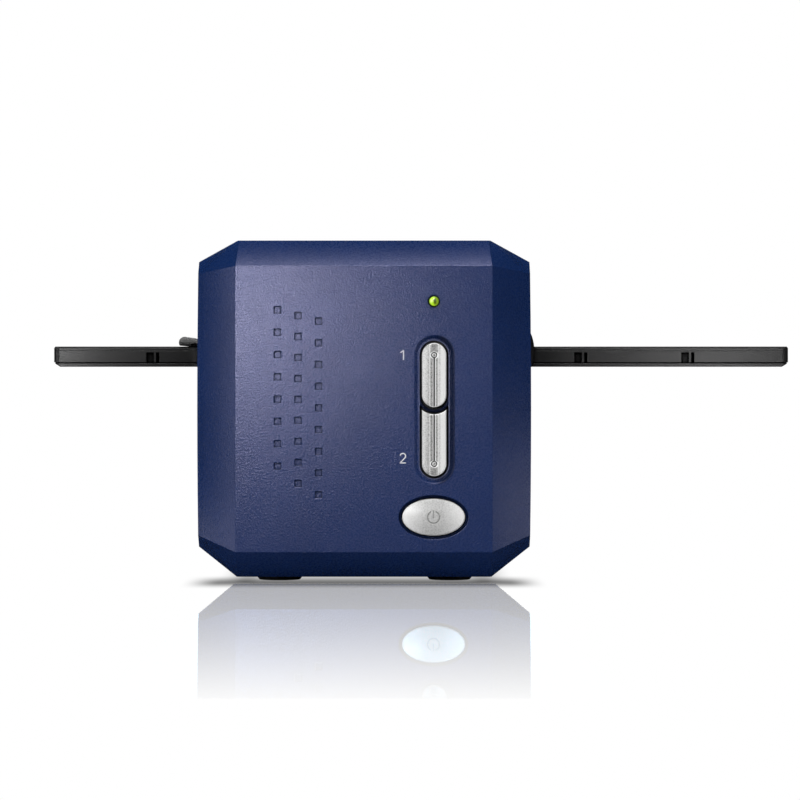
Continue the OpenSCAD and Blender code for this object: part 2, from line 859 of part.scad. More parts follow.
module exit_bezel() {
    color(black)
    difference() {
        union() {
            block([-half_w, bezel_y0 + run_clear, bezel_z0 + run_clear],
                [-bezel_in, bezel_y1 - run_clear, bezel_z1 - run_clear]);
            // Cheeks that stand out beside the slot
            for (y = [[bezel_y0 + 0.5, channel_y0], [channel_y1, bezel_y1 - 0.5]])
                block([-half_w - exit_proud, y[0], holder_z + lap],
                    [-half_w + skin, y[1], flap_pin_z + flap_thick / 2]);
        }
        bezel_slot(-far, 0);
        flap_pin_bores(exit_pin_x);
    }
}

// Blind bores for a flap's hinge pin, in both cheeks
module flap_pin_bores(x) {
    bar_y([x, channel_y0 - 2, flap_pin_z], channel_y1 - channel_y0 + 4, flap_pin_d + 2 * screw_clear);
}

module flap_pin(x) {
    bar_y([x, channel_y0 - 1.9, flap_pin_z], channel_y1 - channel_y0 + 3.8, flap_pin_d);
}

module entry_flap_pin() {
    color(steel) flap_pin(entry_pin_x);
}

module exit_flap_pin() {
    color(steel) flap_pin(exit_pin_x);
}

// Flap with its hinge barrel, web and bead, swung up to lie on the holder
module flap(pin_x) {
    bead_z = holder_top + flap_rest + flap_bead * 0.55;
    tip = pin_x - flap_reach;
    difference() {
        along_y(flap_y0, flap_y1) {
            translate([pin_x, flap_pin_z]) circle(d = flap_thick);
            translate([tip, flap_pin_z - flap_thick / 2]) square([flap_reach, flap_thick]);
            intersection() {
                translate([tip, bead_z]) circle(r = flap_bead);
                translate([tip - far, holder_top + flap_rest]) square([2 * far, far]);
            }
            translate([tip - 0.7, holder_top + flap_rest]) square([3, flap_pin_z - holder_top - flap_rest]);
        }
        bar_y([pin_x, flap_y0 - skin, flap_pin_z], flap_y1 - flap_y0 + 2 * skin, flap_pin_d + 2 * run_clear);
    }
}

module entry_flap() {
    color(black) flap(entry_pin_x);
}

module exit_flap() {
    color(black) flap(exit_pin_x);
}

// ---------- buttons and light ----------

// Outline of the upper scan button, grown by a distance
module upper_outline(grow) {
    r = scan_r + grow;
    stadium(scan_button_x, r, scan_button_turn - r, scan_button_high + grow);
}

// Outline of the lower scan button, hollowed to follow the upper one
module lower_outline(grow) {
    r = scan_r + grow;
    difference() {
        union() {
            translate([scan_button_x, scan_button_low + scan_r]) circle(r = r);
            translate([scan_button_x - r, scan_button_low + scan_r])
                square([2 * r, scan_button_turn - scan_button_low - scan_r]);
        }
        translate([scan_button_x, scan_button_turn]) circle(r = saddle_r - grow * 0.75);
        translate([scan_button_x - far, scan_button_turn - saddle_r * 0.55]) square([2 * far, far]);
    }
}

// Crown across a scan button: a large upright bar that trims the front of the cap
module button_crown() {
    crown_r = 9;
    bar_z([scan_button_x, front_y - button_proud + crown_r, 0], roof_z, 2 * crown_r);
}

// Stem that reaches from a cap to its switch
module stem(x, z, cap_back) {
    bar_y([x, cap_back, z], plunger_out - cap_back, stem_d);
}

module plunger(x, z) {
    bar_y([x, plunger_out, z], plunger_in - plunger_out, plunger_d);
}

module scan_button_upper() {
    ring_z = scan_button_high - button_ring_in;
    color(silver)
    difference() {
        union() {
            intersection() {
                along_y(front_y - 2, flange_y + flange_thick) upper_outline(0);
                button_crown();
            }
            along_y(flange_y, flange_y + flange_thick) upper_outline(flange_grow - button_gap);
            stem(scan_button_x, upper_press_z, flange_y);
        }
        groove_cut(scan_button_turn - scan_r - skin, ring_z - button_ring_d / 2 + lap);
        ring_cut(ring_z);
    }
}

module scan_button_lower() {
    ring_z = scan_button_low + button_ring_in;
    color(silver)
    difference() {
        union() {
            intersection() {
                along_y(front_y - 2, flange_y + flange_thick) lower_outline(0);
                button_crown();
            }
            along_y(flange_y, flange_y + flange_thick) stadium(scan_button_x, scan_r + 1,
                scan_button_low - 1, scan_button_turn - saddle_r);
            stem(scan_button_x, lower_press_z, flange_y);
        }
        groove_cut(ring_z + button_ring_d / 2 - lap, scan_button_turn);
        ring_cut(ring_z);
    }
}

// Shallow groove down the middle of a scan button
module groove_cut(z0, z1) {
    block([scan_button_x - button_groove / 2, front_y - 3, z0],
        [scan_button_x + button_groove / 2, front_y - button_proud + button_groove_depth, z1]);
}

// Shallow ring at the end of that groove
module ring_cut(z) {
    difference() {
        bar_y([scan_button_x, front_y - 3, z], 3 - button_proud + button_groove_depth, button_ring_d);
        bar_y([scan_button_x, front_y - 4, z], 6, button_ring_d - button_groove);
    }
}

module power_button() {
    reach = power_w / 2;
    dome_r = (reach * reach + power_crown * power_crown) / (2 * power_crown);
    dome_y = front_y - button_proud - 0.5 + dome_r;
    color(silver)
    difference() {
        union() {
            intersection() {
                translate([power_x, 0, power_z])
                    along_y(front_y - 3, flange_y + flange_thick) polygon(ellipse(power_w, power_h));
                translate([power_x, dome_y, power_z]) sphere(r = dome_r, $fn = 144);
            }
            translate([power_x, 0, power_z]) along_y(flange_y, flange_y + flange_thick)
                polygon(ellipse(power_w + 2 * flange_grow, power_h + 2 * flange_grow));
            stem(power_x, power_z, flange_y);
        }
        // Sunk on and off mark: an open ring with an upright stroke
        difference() {
            bar_y([power_x, front_y - 4, power_z], 4 - button_proud - 0.1, 4.6);
            bar_y([power_x, front_y - 5, power_z], 8, 3.6);
            block([power_x - 0.8, front_y - 5, power_z], [power_x + 0.8, front_y, power_z + 3]);
        }
        block([power_x - 0.25, front_y - 4, power_z - 0.2],
            [power_x + 0.25, front_y - button_proud - 0.1, power_z + 2.3]);
    }
}

module upper_switch_plunger() {
    color("dimgray") plunger(scan_button_x, upper_press_z);
}

module lower_switch_plunger() {
    color("dimgray") plunger(scan_button_x, lower_press_z);
}

module power_switch_plunger() {
    color("dimgray") plunger(power_x, power_z);
}

// Black plate behind the front face that guides the stems
module button_carrier() {
    y1 = shoulder_y + carrier_thick;
    color(black)
    difference() {
        translate([scan_button_x, 0, button_board_z])
            along_y(shoulder_y, y1) round_rect(button_board_w, button_board_h, 2);
        for (x = button_post_x, z = button_post_z)
            bar_y([x, shoulder_y - skin, z], carrier_thick + 2 * skin, post_d + 2 * screw_clear);
        for (p = press_points)
            bar_y([p[0], shoulder_y - skin, p[1]], carrier_thick + 2 * skin, stem_d + 2 * pass_clear);
        bar_y([light_x, shoulder_y - skin, light_z], carrier_thick + 2 * skin, light_d + 2 * screw_clear);
    }
}

module button_board() {
    color(board_green)
    difference() {
        translate([scan_button_x, 0, button_board_z])
            along_y(board_y, board_y + board_thick) round_rect(button_board_w, button_board_h, 1);
        for (x = button_post_x, z = button_post_z)
            bar_y([x, board_y - skin, z], board_thick + 2 * skin, 2 * (1 + 2 * screw_clear));
    }
}

module tact_switches() {
    color("gray")
    for (p = press_points)
        difference() {
            block([p[0] - switch_w / 2, board_y - switch_h, p[1] - switch_w / 2],
                [p[0] + switch_w / 2, board_y, p[1] + switch_w / 2]);
            bar_y([p[0], board_y - switch_h - skin, p[1]], switch_h + skin - 0.4, plunger_d + 2 * run_clear);
        }
}

module button_board_screws() {
    back = board_y + board_thick;
    color(steel)
    for (x = button_post_x, z = button_post_z) {
        bar_y([x, back - 7, z], 7, 2);
        bar_y([x, back, z], 1.4, 4);
    }
}

module light_pipe() {
    color("greenyellow") {
        bar_y([light_x, front_y, light_z], board_y - 1.3 - front_y, light_d);
        translate([light_x, front_y, light_z]) intersection() {
            sphere(d = light_d);
            block([-light_d, -light_d, -light_d], [light_d, 0, light_d]);
        }
    }
}

module power_light() {
    color("white")
    block([light_x - 1.6, board_y - 1.3, light_z - 1.4], [light_x + 1.6, board_y, light_z + 1.4]);
}

// ---------- inner frame and film stage ----------

module chassis() {
    web_run = 14;
    web_rise = 24;
    color("dimgray")
    difference() {
        union() {
            block([-chassis_half_w, chassis_y0, chassis_z], [chassis_half_w, chassis_y1, chassis_top]);
            // Columns under the film gate, with a web to the floor
            for (side = [-1, 1], y = column_y) {
                translate([side * column_x, y, 0])
                    along_z(chassis_top - chassis_floor, gate_z) square([column, column], center = true);
            }
            // Webs that brace the columns sideways, clear of the carriage
            for (side = [-1, 1], end = [-1, 1]) {
                y = column_y[end < 0 ? 0 : 1] - end * (column / 2 - 1.5);
                along_x(side * column_x - 1, side * column_x + 1) polygon([
                    [y, chassis_top - 1], [y - end * web_run, chassis_top - 1], [y, chassis_top + web_rise]
                ]);
            }
            // Supports of the guide rod
            for (y = [rod_y0, rod_y1 - 4])
                block([rod_x - 4, y, chassis_z], [rod_x + 4, y + 4, rod_z + rod_d / 2 + 2]);
            // Rail that carries the other side of the carriage
            block([rail_x - 2, carriage_y0, chassis_z], [rail_x + 2, carriage_y1 - 10, carriage_z - 1.5]);
            // Bearing of the lead screw and plate for the motor
            block([lead_x - 5, lead_y0, chassis_z], [lead_x + 5, lead_y0 + 4, lead_z + 5]);
            block([lead_x - bracket_half, lead_y1, chassis_z],
                [lead_x + bracket_half, lead_y1 + bracket, lead_z + 7]);
            // Stand-offs of the main board
            for (p = board_posts()) bar_z([p[0], p[1], chassis_top - 1], main_z - chassis_top + 1, 6);
        }
        for (p = fixing_spots)
            bar_z([p[0], p[1], chassis_z - skin], chassis_floor + 2 * skin, through_d);
        bar_y([rod_x, rod_y0 - 2, rod_z], rod_y1 - rod_y0 + 4, rod_d + 2 * screw_clear);
        bar_y([lead_x, lead_y0 - 2, lead_z], 8, screw_d - 1 + 2 * run_clear);
        bar_y([lead_x, lead_y1 - 1, lead_z], bracket + 2, 8 + 2 * run_clear);
        for (side = [-1, 1])
            bar_y([lead_x + side * motor_ear, lead_y1 - 1, lead_z], bracket + 2, 2.5 + 2 * screw_clear);
        for (side = [-1, 1], y = column_y)
            bar_z([side * column_x, y, gate_z - 8], 9, tap_d);
        for (p = board_posts()) bar_z([p[0], p[1], chassis_top + 0.5], 6, tap_d);
    }
}

function board_posts() = [for (x = [main_x0 + 4, main_x1 - 4], y = [main_y0 + 4, chassis_y1 - 4]) [x, y]];

module chassis_screws() {
    color(steel)
    for (p = fixing_spots) {
        bar_z([p[0], p[1], chassis_top], 1.8, 5);
        bar_z([p[0], p[1], chassis_top - 6], 6, 2 * screw_r);
    }
}

module film_gate() {
    color(black)
    difference() {
        union() {
            block([-gate_half, channel_y0 - gate_flange, gate_z],
                [gate_half, channel_y1 + gate_flange, gate_top]);
            // Rails that the holder runs on
            for (y = [channel_y0, channel_y1 - 4])
                block([-gate_half, y, gate_top], [gate_half, y + 4, rail_z]);
            // Upright guides beside the holder
            block([-gate_half, channel_y0 - gate_guide, gate_top], [gate_half, channel_y0, guide_z]);
            block([-gate_half, channel_y1, gate_top], [gate_half, channel_y1 + gate_guide, guide_z]);
        }
        // Window, wider below
        translate([scan_x, film_y, 0])
            frustum(window_w, window_h, gate_z - 0.01, gate_top + 0.01, -gate_thick);
        for (side = [-1, 1], y = column_y)
            bar_z([side * column_x, y, gate_z - skin], gate_thick + 3 * skin, through_d);
        // Gap in the front guide for the nose of the click spring
        block([scan_x - 4, channel_y0 - gate_guide - skin, rail_z + 0.8],
            [scan_x + 2, channel_y0 + skin, guide_z + skin]);
        // Room for the flaps and their bezels at both ends
        for (side = [-1, 1])
            block([side * (gate_half - 5) - 5.2, channel_y0 - far, slot_z1 - 0.5],
                [side * (gate_half - 5) + 5.2, channel_y1 + far, far]);
    }
}

// Four-sided hole that widens by spread at one end: a negative spread widens it downwards
module frustum(w, h, z0, z1, spread) {
    intersection() {
        along_y(-far, far) frustum_side(w / 2, z0, z1, spread);
        along_x(-far, far) frustum_side(h / 2, z0, z1, spread);
    }
}

// Outline of such a hole, seen from one side
module frustum_side(half, z0, z1, spread) {
    low = half + max(-spread, 0);
    high = half + max(spread, 0);
    polygon([[-low, z0], [low, z0], [high, z1], [-high, z1]]);
}

module film_gate_screws() {
    color(steel)
    for (side = [-1, 1], y = column_y) {
        bar_z([side * column_x, y, gate_top], 1.6, 4);
        bar_z([side * column_x, y, gate_top - 9], 9, 2 * screw_r);
    }
}

// Leaf spring on the front guide, whose nose drops into the holder's notches
module click_spring() {
    leaf = 0.5;
    leaf_x = scan_x - 24;
    leaf_y = channel_y0 - gate_guide - leaf;
    nose_x = scan_x + (notch_rib_x - notch_rib / 2 - notch_left) / 2;
    nose_r = 0.8;
    color(steel) {
        along_z(groove_z + 0.5, base_top - notch_edge - 0.2) {
            translate([leaf_x, leaf_y]) square([nose_x + nose_r - leaf_x, leaf]);
            translate([nose_x - nose_r, leaf_y]) square([2 * nose_r, holder_y0 - leaf_y]);
            translate([nose_x, holder_y0]) circle(r = nose_r);
        }
        bar_y([leaf_x + 4, leaf_y - 0.8, (gate_top + base_top) / 2], 0.8, 3);
    }
}

module lamp_housing() {
    box_z = guide_z + 2;
    box_top = box_z + lamp_box_h;
    color(black)
    difference() {
        union() {
            block([-lamp_half, channel_y0 - gate_guide, guide_z],
                [lamp_half, channel_y1 + gate_guide, box_z]);
            along_x(-lamp_half, lamp_half) translate([film_y, 0]) polygon([
                [-lamp_box_y - 2, box_z - 0.01], [lamp_box_y + 2, box_z - 0.01],
                [lamp_box_y - 2, box_top], [-lamp_box_y + 2, box_top]
            ]);
        }
        along_x(-lamp_half + 2, lamp_half - 2) translate([film_y, 0]) polygon([
            [-lamp_box_y, box_z], [lamp_box_y, box_z],
            [lamp_box_y - 4, box_top - 2], [-lamp_box_y + 4, box_top - 2]
        ]);
        translate([scan_x, film_y, 0])
            block([-window_w / 2, -window_h / 2, guide_z - skin], [window_w / 2, window_h / 2, box_z + skin]);
    }
}

module lamp_reflector() {
    outer = lamp_box_h / 2 - 2.1;
    color("white")
    along_x(-lamp_len / 2 + 4, lamp_len / 2 - 4) translate([film_y, lamp_z]) difference() {
        circle(r = outer);
        circle(r = outer - 0.6);
        translate([-far, -far]) square([2 * far, far]);
    }
}

module lamp_tube() {
    color("ivory") bar_x([-lamp_len / 2, film_y, lamp_z], lamp_len, lamp_d);
}

module lamp_end_caps() {
    cap = lamp_half - 2 - lamp_len / 2 + 3;
    color("gray")
    for (side = [-1, 1]) difference() {
        translate([side * (lamp_half - 2 - cap / 2), film_y, lamp_z])
            cube([cap, lamp_d + 4, lamp_d + 4], center = true);
        bar_x([-lamp_len / 2 - screw_clear, film_y, lamp_z],
            lamp_len + 2 * screw_clear, lamp_d + 2 * screw_clear);
    }
}

module lamp_diffuser() {
    color("whitesmoke")
    block([scan_x - window_w / 2 - 3, film_y - lamp_box_y + 0.6, guide_z + 2],
        [scan_x + window_w / 2 + 3, film_y + lamp_box_y - 0.6, guide_z + 4]);
}

// ---------- scanning unit ----------

module scan_carriage() {
    inner = carriage_w / 2 - carriage_wall;
    color("darkslategray")
    difference() {
        union() {
            block([carriage_x0, carriage_y0, carriage_z],
                [carriage_x1, carriage_y1, carriage_top]);
            for (y = bush_y) {
                bar_y([rod_x, y, rod_z], bush_len, boss_d);
                block([rod_x, y, rod_z - 3], [carriage_x0 + 1, y + bush_len, rod_z + 3]);
            }
            // Shoes on the far side
            for (y = [carriage_y0 + 8, carriage_y1 - 48])
                block([carriage_x1 - 1, y, carriage_z - 1.4],
                    [rail_x + 2, y + 10, carriage_z + 1.6]);
            block([lead_x - 6, nut_y, lead_z + 4.5], [lead_x + 6, nut_y + nut_len, carriage_z + 1]);
        }
        block([scan_x - inner, carriage_y0 + carriage_wall, carriage_z + carriage_wall],
            [scan_x + inner, carriage_y1 - carriage_wall, carriage_top + skin]);
        for (y = bush_y) bar_y([rod_x, y - skin, rod_z], bush_len + 2 * skin, bush_d + 2 * screw_clear);
    }
    color("darkslategray") {
        // Cradle for the lens and wall for the sensor board
        difference() {
            block([carriage_x0 + 1, lens_y - 2, carriage_z + 1],
                [carriage_x1 - 1, lens_y + lens_len - 4, axis_z]);
            bar_y([scan_x, lens_y - 4, axis_z], lens_len + 2, lens_d + 2 * screw_clear);
        }
        difference() {
            block([carriage_x0 + 1, sensor_y - 2, carriage_z + 1],
                [carriage_x1 - 1, sensor_y, carriage_top - 3]);
            block([scan_x - 20, sensor_y - 3, axis_z - 5], [scan_x + 20, sensor_y + 1, axis_z + 5]);
        }
        // Sloping seat of the mirror
        along_x(carriage_x0 + 1, carriage_x1 - 1) polygon(mirror_seat());
    }
}

// Wedge under the mirror, sloping at 45 degrees
function mirror_seat() = [
    [carriage_y0 + 1, carriage_z + 1],
    [mirror_seat_sum - carriage_z - 1, carriage_z + 1],
    [carriage_y0 + 1, mirror_seat_sum - carriage_y0 - 1]
];

module carriage_cover() {
    color(black)
    difference() {
        union() {
            block([carriage_x0, carriage_y0, carriage_top],
                [carriage_x1, carriage_y1, carriage_top + 1.5]);
            block([carriage_x0 + carriage_wall + 0.2, sensor_y + 8, carriage_top - 1.5],
                [carriage_x1 - carriage_wall - 0.2, sensor_y + 10, carriage_top + 0.1]);
        }
        // Scanning slit
        block([scan_x - window_w / 2, slit_y - 2, carriage_top - 3],
            [scan_x + window_w / 2, slit_y + 2, carriage_top + 3]);
    }
}

module carriage_bushes() {
    color("goldenrod")
    for (y = bush_y) difference() {
        bar_y([rod_x, y, rod_z], bush_len, bush_d);
        bar_y([rod_x, y - skin, rod_z], bush_len + 2 * skin, rod_d + 2 * run_clear);
    }
}

// Front-surface mirror lying on the wedge
module fold_mirror() {
    rise = mirror_thick / sqrt(2);
    low = carriage_z + 3;
    high = carriage_z + 24;
    color("aliceblue")
    along_x(scan_x - window_w / 2 - 1, scan_x + window_w / 2 + 1) polygon([
        [mirror_seat_sum - low, low], [mirror_seat_sum - low + rise, low + rise],
        [mirror_seat_sum - high + rise, high + rise], [mirror_seat_sum - high, high]
    ]);
}

module lens_barrel() {
    color("dimgray")
    translate([scan_x, lens_y, axis_z]) rotate([-90, 0, 0]) rotate_extrude() polygon([
        [lens_d / 2 - 3, 0], [lens_d / 2, 0], [lens_d / 2, lens_len - 6], [lens_d / 2 - 1, lens_len - 5],
        [lens_d / 2 - 1, lens_len], [lens_d / 2 - 3, lens_len]
    ]);
}

module lens_glass() {
    color("powderblue")
    for (y = [lens_y + 1, lens_y + lens_len - 4])
        bar_y([scan_x, y, axis_z], 3, lens_d - 6 - 2 * screw_clear);
}

module lens_clamp() {
    band = 0.8;
    ear = 6;
    ear_x = lens_d / 2 + (ear + band) / 2;
    color(steel)
    along_y(lens_y + 4, lens_y + 12) translate([scan_x, axis_z]) {
        intersection() {
            difference() {
                circle(r = lens_d / 2 + band + screw_clear);
                circle(r = lens_d / 2 + screw_clear);
            }
            translate([-far, 0]) square([2 * far, far]);
        }
        for (side = [-1, 1])
            translate([side * ear_x, band / 2]) square([ear, band], center = true);
    }
}

module sensor_board() {
    color(board_green)
    block([carriage_x0 + carriage_wall + 0.3, sensor_y + 1, carriage_z + carriage_wall + 0.3],
        [carriage_x1 - carriage_wall - 0.3, sensor_y + 1 + board_thick, carriage_top - 2]);
}

module sensor_chip() {
    color("indigo")
    difference() {
        block([scan_x - 18, sensor_y - 2.5, axis_z - 4.5], [scan_x + 18, sensor_y + 1, axis_z + 4.5]);
        block([scan_x - 15, sensor_y - 3, axis_z - 1.5], [scan_x + 15, sensor_y - 2, axis_z + 1.5]);
    }
}

module drive_nut() {
    color("white")
    difference() {
        block([lead_x - 5, nut_y, lead_z - 4.5], [lead_x + 5, nut_y + nut_len, lead_z + 4.5]);
        bar_y([lead_x, nut_y - skin, lead_z], nut_len + 2 * skin, screw_d + 2 * run_clear);
    }
}

module guide_rod() {
    color(steel) bar_y([rod_x, rod_y0, rod_z], rod_y1 - rod_y0, rod_d);
}

// Lead screw with its journal at the front and the motor's rotor collar at the back
module lead_screw() {
    color(steel) {
        bar_y([lead_x, lead_y0 + 0.3, lead_z], 4, screw_d - 1);
        bar_y([lead_x, lead_y0 + 4.3, lead_z], lead_y1 - lead_y0 - 4.6, screw_d);
        bar_y([lead_x, lead_y1 - 0.5, lead_z], bracket + 3, screw_d - 1);
    }
}

module stepper_motor() {
    color("gainsboro")
    difference() {
        union() {
            bar_y([lead_x, motor_y, lead_z], motor_len, motor_d);
            translate([lead_x, motor_y, lead_z]) along_y(0, 1) round_rect(2 * motor_ear + 5, 7, 3.4);
            bar_y([lead_x, motor_y - 1.2, lead_z], 1.3, 8);
        }
        bar_y([lead_x, motor_y - 2, lead_z], 6, screw_d - 1 + 2 * run_clear);
        for (side = [-1, 1])
            bar_y([lead_x + side * motor_ear, motor_y - 1, lead_z], 3, 2.5 + 2 * screw_clear);
    }
}

module motor_screws() {
    color(steel)
    for (side = [-1, 1]) {
        bar_y([lead_x + side * motor_ear, motor_y + 1, lead_z], 1.4, 4.2);
        bar_y([lead_x + side * motor_ear, motor_y - bracket, lead_z], bracket + 1, 2.5);
    }
}

// ---------- boards and sockets ----------

module main_board() {
    color(board_green)
    difference() {
        union() {
            block([main_x0, main_y0, main_z], [main_x1, main_y1, main_z + board_thick]);
            // Image processor and memory
            block([main_x0 + 10, main_y0 + 10, main_z + board_thick - 0.01],
                [main_x0 + 24, main_y0 + 24, main_z + board_thick + 1.6]);
            block([main_x0 + 14, main_y0 + 28, main_z + board_thick - 0.01],
                [main_x0 + 22, main_y0 + 40, main_z + board_thick + 1.2]);
        }
        for (p = board_posts())
            bar_z([p[0], p[1], main_z - skin], board_thick + 2 * skin, through_d);
    }
}

module main_board_screws() {
    color(steel)
    for (p = board_posts()) {
        bar_z([p[0], p[1], main_z + board_thick], 1.8, 5);
        bar_z([p[0], p[1], chassis_top + 1], main_z + board_thick - chassis_top - 1, 2 * screw_r);
    }
}

module usb_socket() {
    y0 = socket_y - socket_depth;
    mid_z = socket_z + usb_h / 2;
    color(silver)
    difference() {
        block([usb_x - usb_w / 2, y0, socket_z], [usb_x + usb_w / 2, socket_y, socket_z + usb_h]);
        // Mouth with two sloping corners
        along_y(y0 + 4, socket_y + skin) polygon([
            [usb_x - 4.3, mid_z - 4], [usb_x + 4.3, mid_z - 4], [usb_x + 4.3, mid_z + 2.2],
            [usb_x + 2.5, mid_z + 4], [usb_x - 2.5, mid_z + 4], [usb_x - 4.3, mid_z + 2.2]
        ]);
    }
    color("white")
    block([usb_x - 2.8, y0 + 3.9, mid_z - 1.6], [usb_x + 2.8, socket_y - 2, mid_z + 1.4]);
}

module power_inlet() {
    y0 = socket_y - socket_depth + 2;
    mid_z = socket_z + usb_h / 2;
    color(black)
    difference() {
        block([jack_x - jack_w / 2, y0, socket_z], [jack_x + jack_w / 2, socket_y, socket_z + usb_h]);
        bar_y([jack_x, y0 + 3, mid_z], socket_depth, jack_bore);
    }
    color(steel) bar_y([jack_x, y0 + 2.9, mid_z], socket_depth - 7, jack_pin);
}

module lamp_inverter() {
    x0 = rail_x + 4;
    color("darkolivegreen") {
        block([x0, main_y0 - 60, chassis_top], [x0 + 8, main_y0 - 20, chassis_top + board_thick]);
        block([x0 + 1, main_y0 - 50, chassis_top + board_thick],
            [x0 + 7, main_y0 - 38, chassis_top + board_thick + 6]);
    }
}

// Forked light barrier that senses the carriage's front stop
module home_sensor() {
    x0 = rod_x - 4;
    color("black")
    difference() {
        block([x0, slit_y + 26, chassis_top], [x0 + 8, slit_y + 38, chassis_top + 10]);
        block([x0 + 2.5, slit_y + 25, chassis_top + 4], [x0 + 5.5, slit_y + 39, chassis_top + 11]);
    }
}

// ---------- strip holder ----------

// Outline of the holder from above, with round corners
module holder_outline(inset) {
    translate([holder_x, film_y])
        round_rect(holder_length - 2 * inset, holder_width - 2 * inset, holder_corner - inset);
}

// Middle of a frame along X, counted from 1
function frame_x(i) = holder_x + (i - (frame_count + 1) / 2) * frame_pitch;

hinge_rib = 3;
hinge_pin_d = 1;
hinge_x = [holder_x - holder_length * 0.36, holder_x, holder_x + holder_length * 0.36];
hinge_w = 12;
hinge_y = holder_y1 - 1.6;
hinge_z = base_top - 0.9;

// Move from the middle of the housing to the middle of the whole scanner
frame_shift = [-holder_x, light_d / 4, 0];

module placed() {
    translate(frame_shift) children();
}

// Side view of the bottom lip, whose two ends slope in
module lip_side() {
    reach = holder_length / 2 - lip_groove;
    translate([holder_x, 0]) polygon([
        [lip_slope - reach, holder_z], [reach - lip_slope, holder_z], [reach, groove_z], [-reach, groove_z]
    ]);
}

module film_holder_base() {
    groove_h = 0.4;
    color(black)
    difference() {
        union() {
            // Bottom lip, groove above it and body
            intersection() {
                along_z(holder_z, groove_z) holder_outline(0);
                along_y(-far, far) lip_side();
            }
            along_z(groove_z - 0.01, groove_z + groove_h + 0.01) holder_outline(lip_groove);
            along_z(groove_z + groove_h, base_top) holder_outline(0);
        }
        // Film channel and picture windows, which widen downwards
        block([holder_x0 + 8, film_y - film_w / 2, base_top - film_channel],
            [holder_x1 - 8, film_y + film_w / 2, base_top + skin]);
        for (i = [1:frame_count]) translate([frame_x(i), film_y, 0])
            frustum(frame_w, frame_h, holder_z - 0.01, base_top + 0.01, -0.8);
        // Long hollows beside the windows
        for (y = [holder_y0 + 5, film_y + film_w / 2 + 2.5])
            block([holder_x0 + 6, y, holder_z - skin],
                [holder_x1 - 6, y + (holder_width - film_w) / 2 - 8.5, base_top - 1.8]);
        notches();
        // Gaps for the lid's hinge knuckles, and the pin bores
        for (x = hinge_x) {
            block([x - hinge_w / 2, holder_y1 - hinge_rib - 0.3, base_top - 2.4],
                [x + hinge_w / 2, holder_y1 + skin, base_top + skin]);
            bar_x([x - hinge_w / 2 - 3, hinge_y, hinge_z], hinge_w + 6, hinge_pin_d + 2 * screw_clear);
        }
        // Latch pockets along the front edge
        for (x = hinge_x) block([x - 4.2, holder_y0 + 1.6, base_top - 2.2],
            [x + 4.2, holder_y0 + 3.4, base_top + skin]);
    }
}

// Pairs of pockets in the front edge, one pair for each frame, with a rib between them
module notches() {
    rib_low = notch_rib_x - notch_rib / 2;
    rib_high = notch_rib_x + notch_rib / 2;
    for (i = [1:frame_count], pocket = [[-notch_left, rib_low], [rib_high, notch_right]])
        translate([frame_x(i), holder_y0, 0])
            block([pocket[0], -skin, groove_z], [pocket[1], notch_depth, base_top - notch_edge]);
}

// What the chamfer takes off at one side of the lid
module lid_edge(side, half) {
    polygon([
        [side * (half + skin), holder_top - lid_chamfer - skin],
        [side * (half + skin), holder_top + skin],
        [side * (half - lid_chamfer - skin), holder_top + skin]
    ]);
}

module film_holder_lid() {
    color(black) {
        difference() {
            along_z(base_top, holder_top) holder_outline(0);
            for (i = [1:frame_count]) translate([frame_x(i), film_y, 0])
                frustum(frame_w, frame_h, base_top - 0.01, holder_top + 0.01, 0.8);
            // Chamfer along the long edges and the ends
            for (side = [-1, 1]) {
                along_x(-far, far) translate([film_y, 0]) lid_edge(side, holder_width / 2);
                along_y(-far, far) translate([holder_x, 0]) lid_edge(side, holder_length / 2);
            }
        }
        // Hinge knuckles
        for (x = hinge_x) difference() {
            block([x - hinge_w / 2 + 0.3, holder_y1 - hinge_rib + 0.2, base_top - 2.1],
                [x + hinge_w / 2 - 0.3, holder_y1, base_top + 0.01]);
            bar_x([x - hinge_w, hinge_y, hinge_z], 2 * hinge_w, hinge_pin_d + 2 * run_clear);
        }
        // Snap hooks
        for (x = hinge_x) block([x - 4, holder_y0 + 1.8, base_top - 2],
            [x + 4, holder_y0 + 3.2, base_top + 0.01]);
    }
}

module film_holder_hinge_pins() {
    color(steel)
    for (x = hinge_x) bar_x([x - hinge_w / 2 - 2.8, hinge_y, hinge_z], hinge_w + 5.6, hinge_pin_d);
}

placed() front_panel();
placed() rear_panel();
placed() upper_housing();
placed() lower_housing();
placed() rubber_feet();
placed() housing_screws();
placed() entry_bezel();
placed() exit_bezel();
placed() entry_flap();
placed() exit_flap();
placed() entry_flap_pin();
placed() exit_flap_pin();
placed() scan_button_upper();
placed() scan_button_lower();
placed() power_button();
placed() upper_switch_plunger();
placed() lower_switch_plunger();
placed() power_switch_plunger();
placed() button_carrier();
placed() button_board();
placed() tact_switches();
placed() button_board_screws();
placed() light_pipe();
placed() power_light();
placed() chassis();
placed() chassis_screws();
placed() film_gate();
placed() film_gate_screws();
placed() click_spring();
placed() lamp_housing();
placed() lamp_reflector();
placed() lamp_tube();
placed() lamp_end_caps();
placed() lamp_diffuser();
placed() scan_carriage();
placed() carriage_cover();
placed() carriage_bushes();
placed() fold_mirror();
placed() lens_barrel();
placed() lens_glass();
placed() lens_clamp();
placed() sensor_board();
placed() sensor_chip();
placed() drive_nut();
placed() guide_rod();
placed() lead_screw();
placed() stepper_motor();
placed() motor_screws();
placed() main_board();
placed() main_board_screws();
placed() usb_socket();
placed() power_inlet();
placed() lamp_inverter();
placed() home_sensor();
placed() film_holder_base();
placed() film_holder_lid();
placed() film_holder_hinge_pins();
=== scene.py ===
"""Dresses the film strip scanner: finishes, crowned buttons, numerals, a screw thread and a plain studio."""

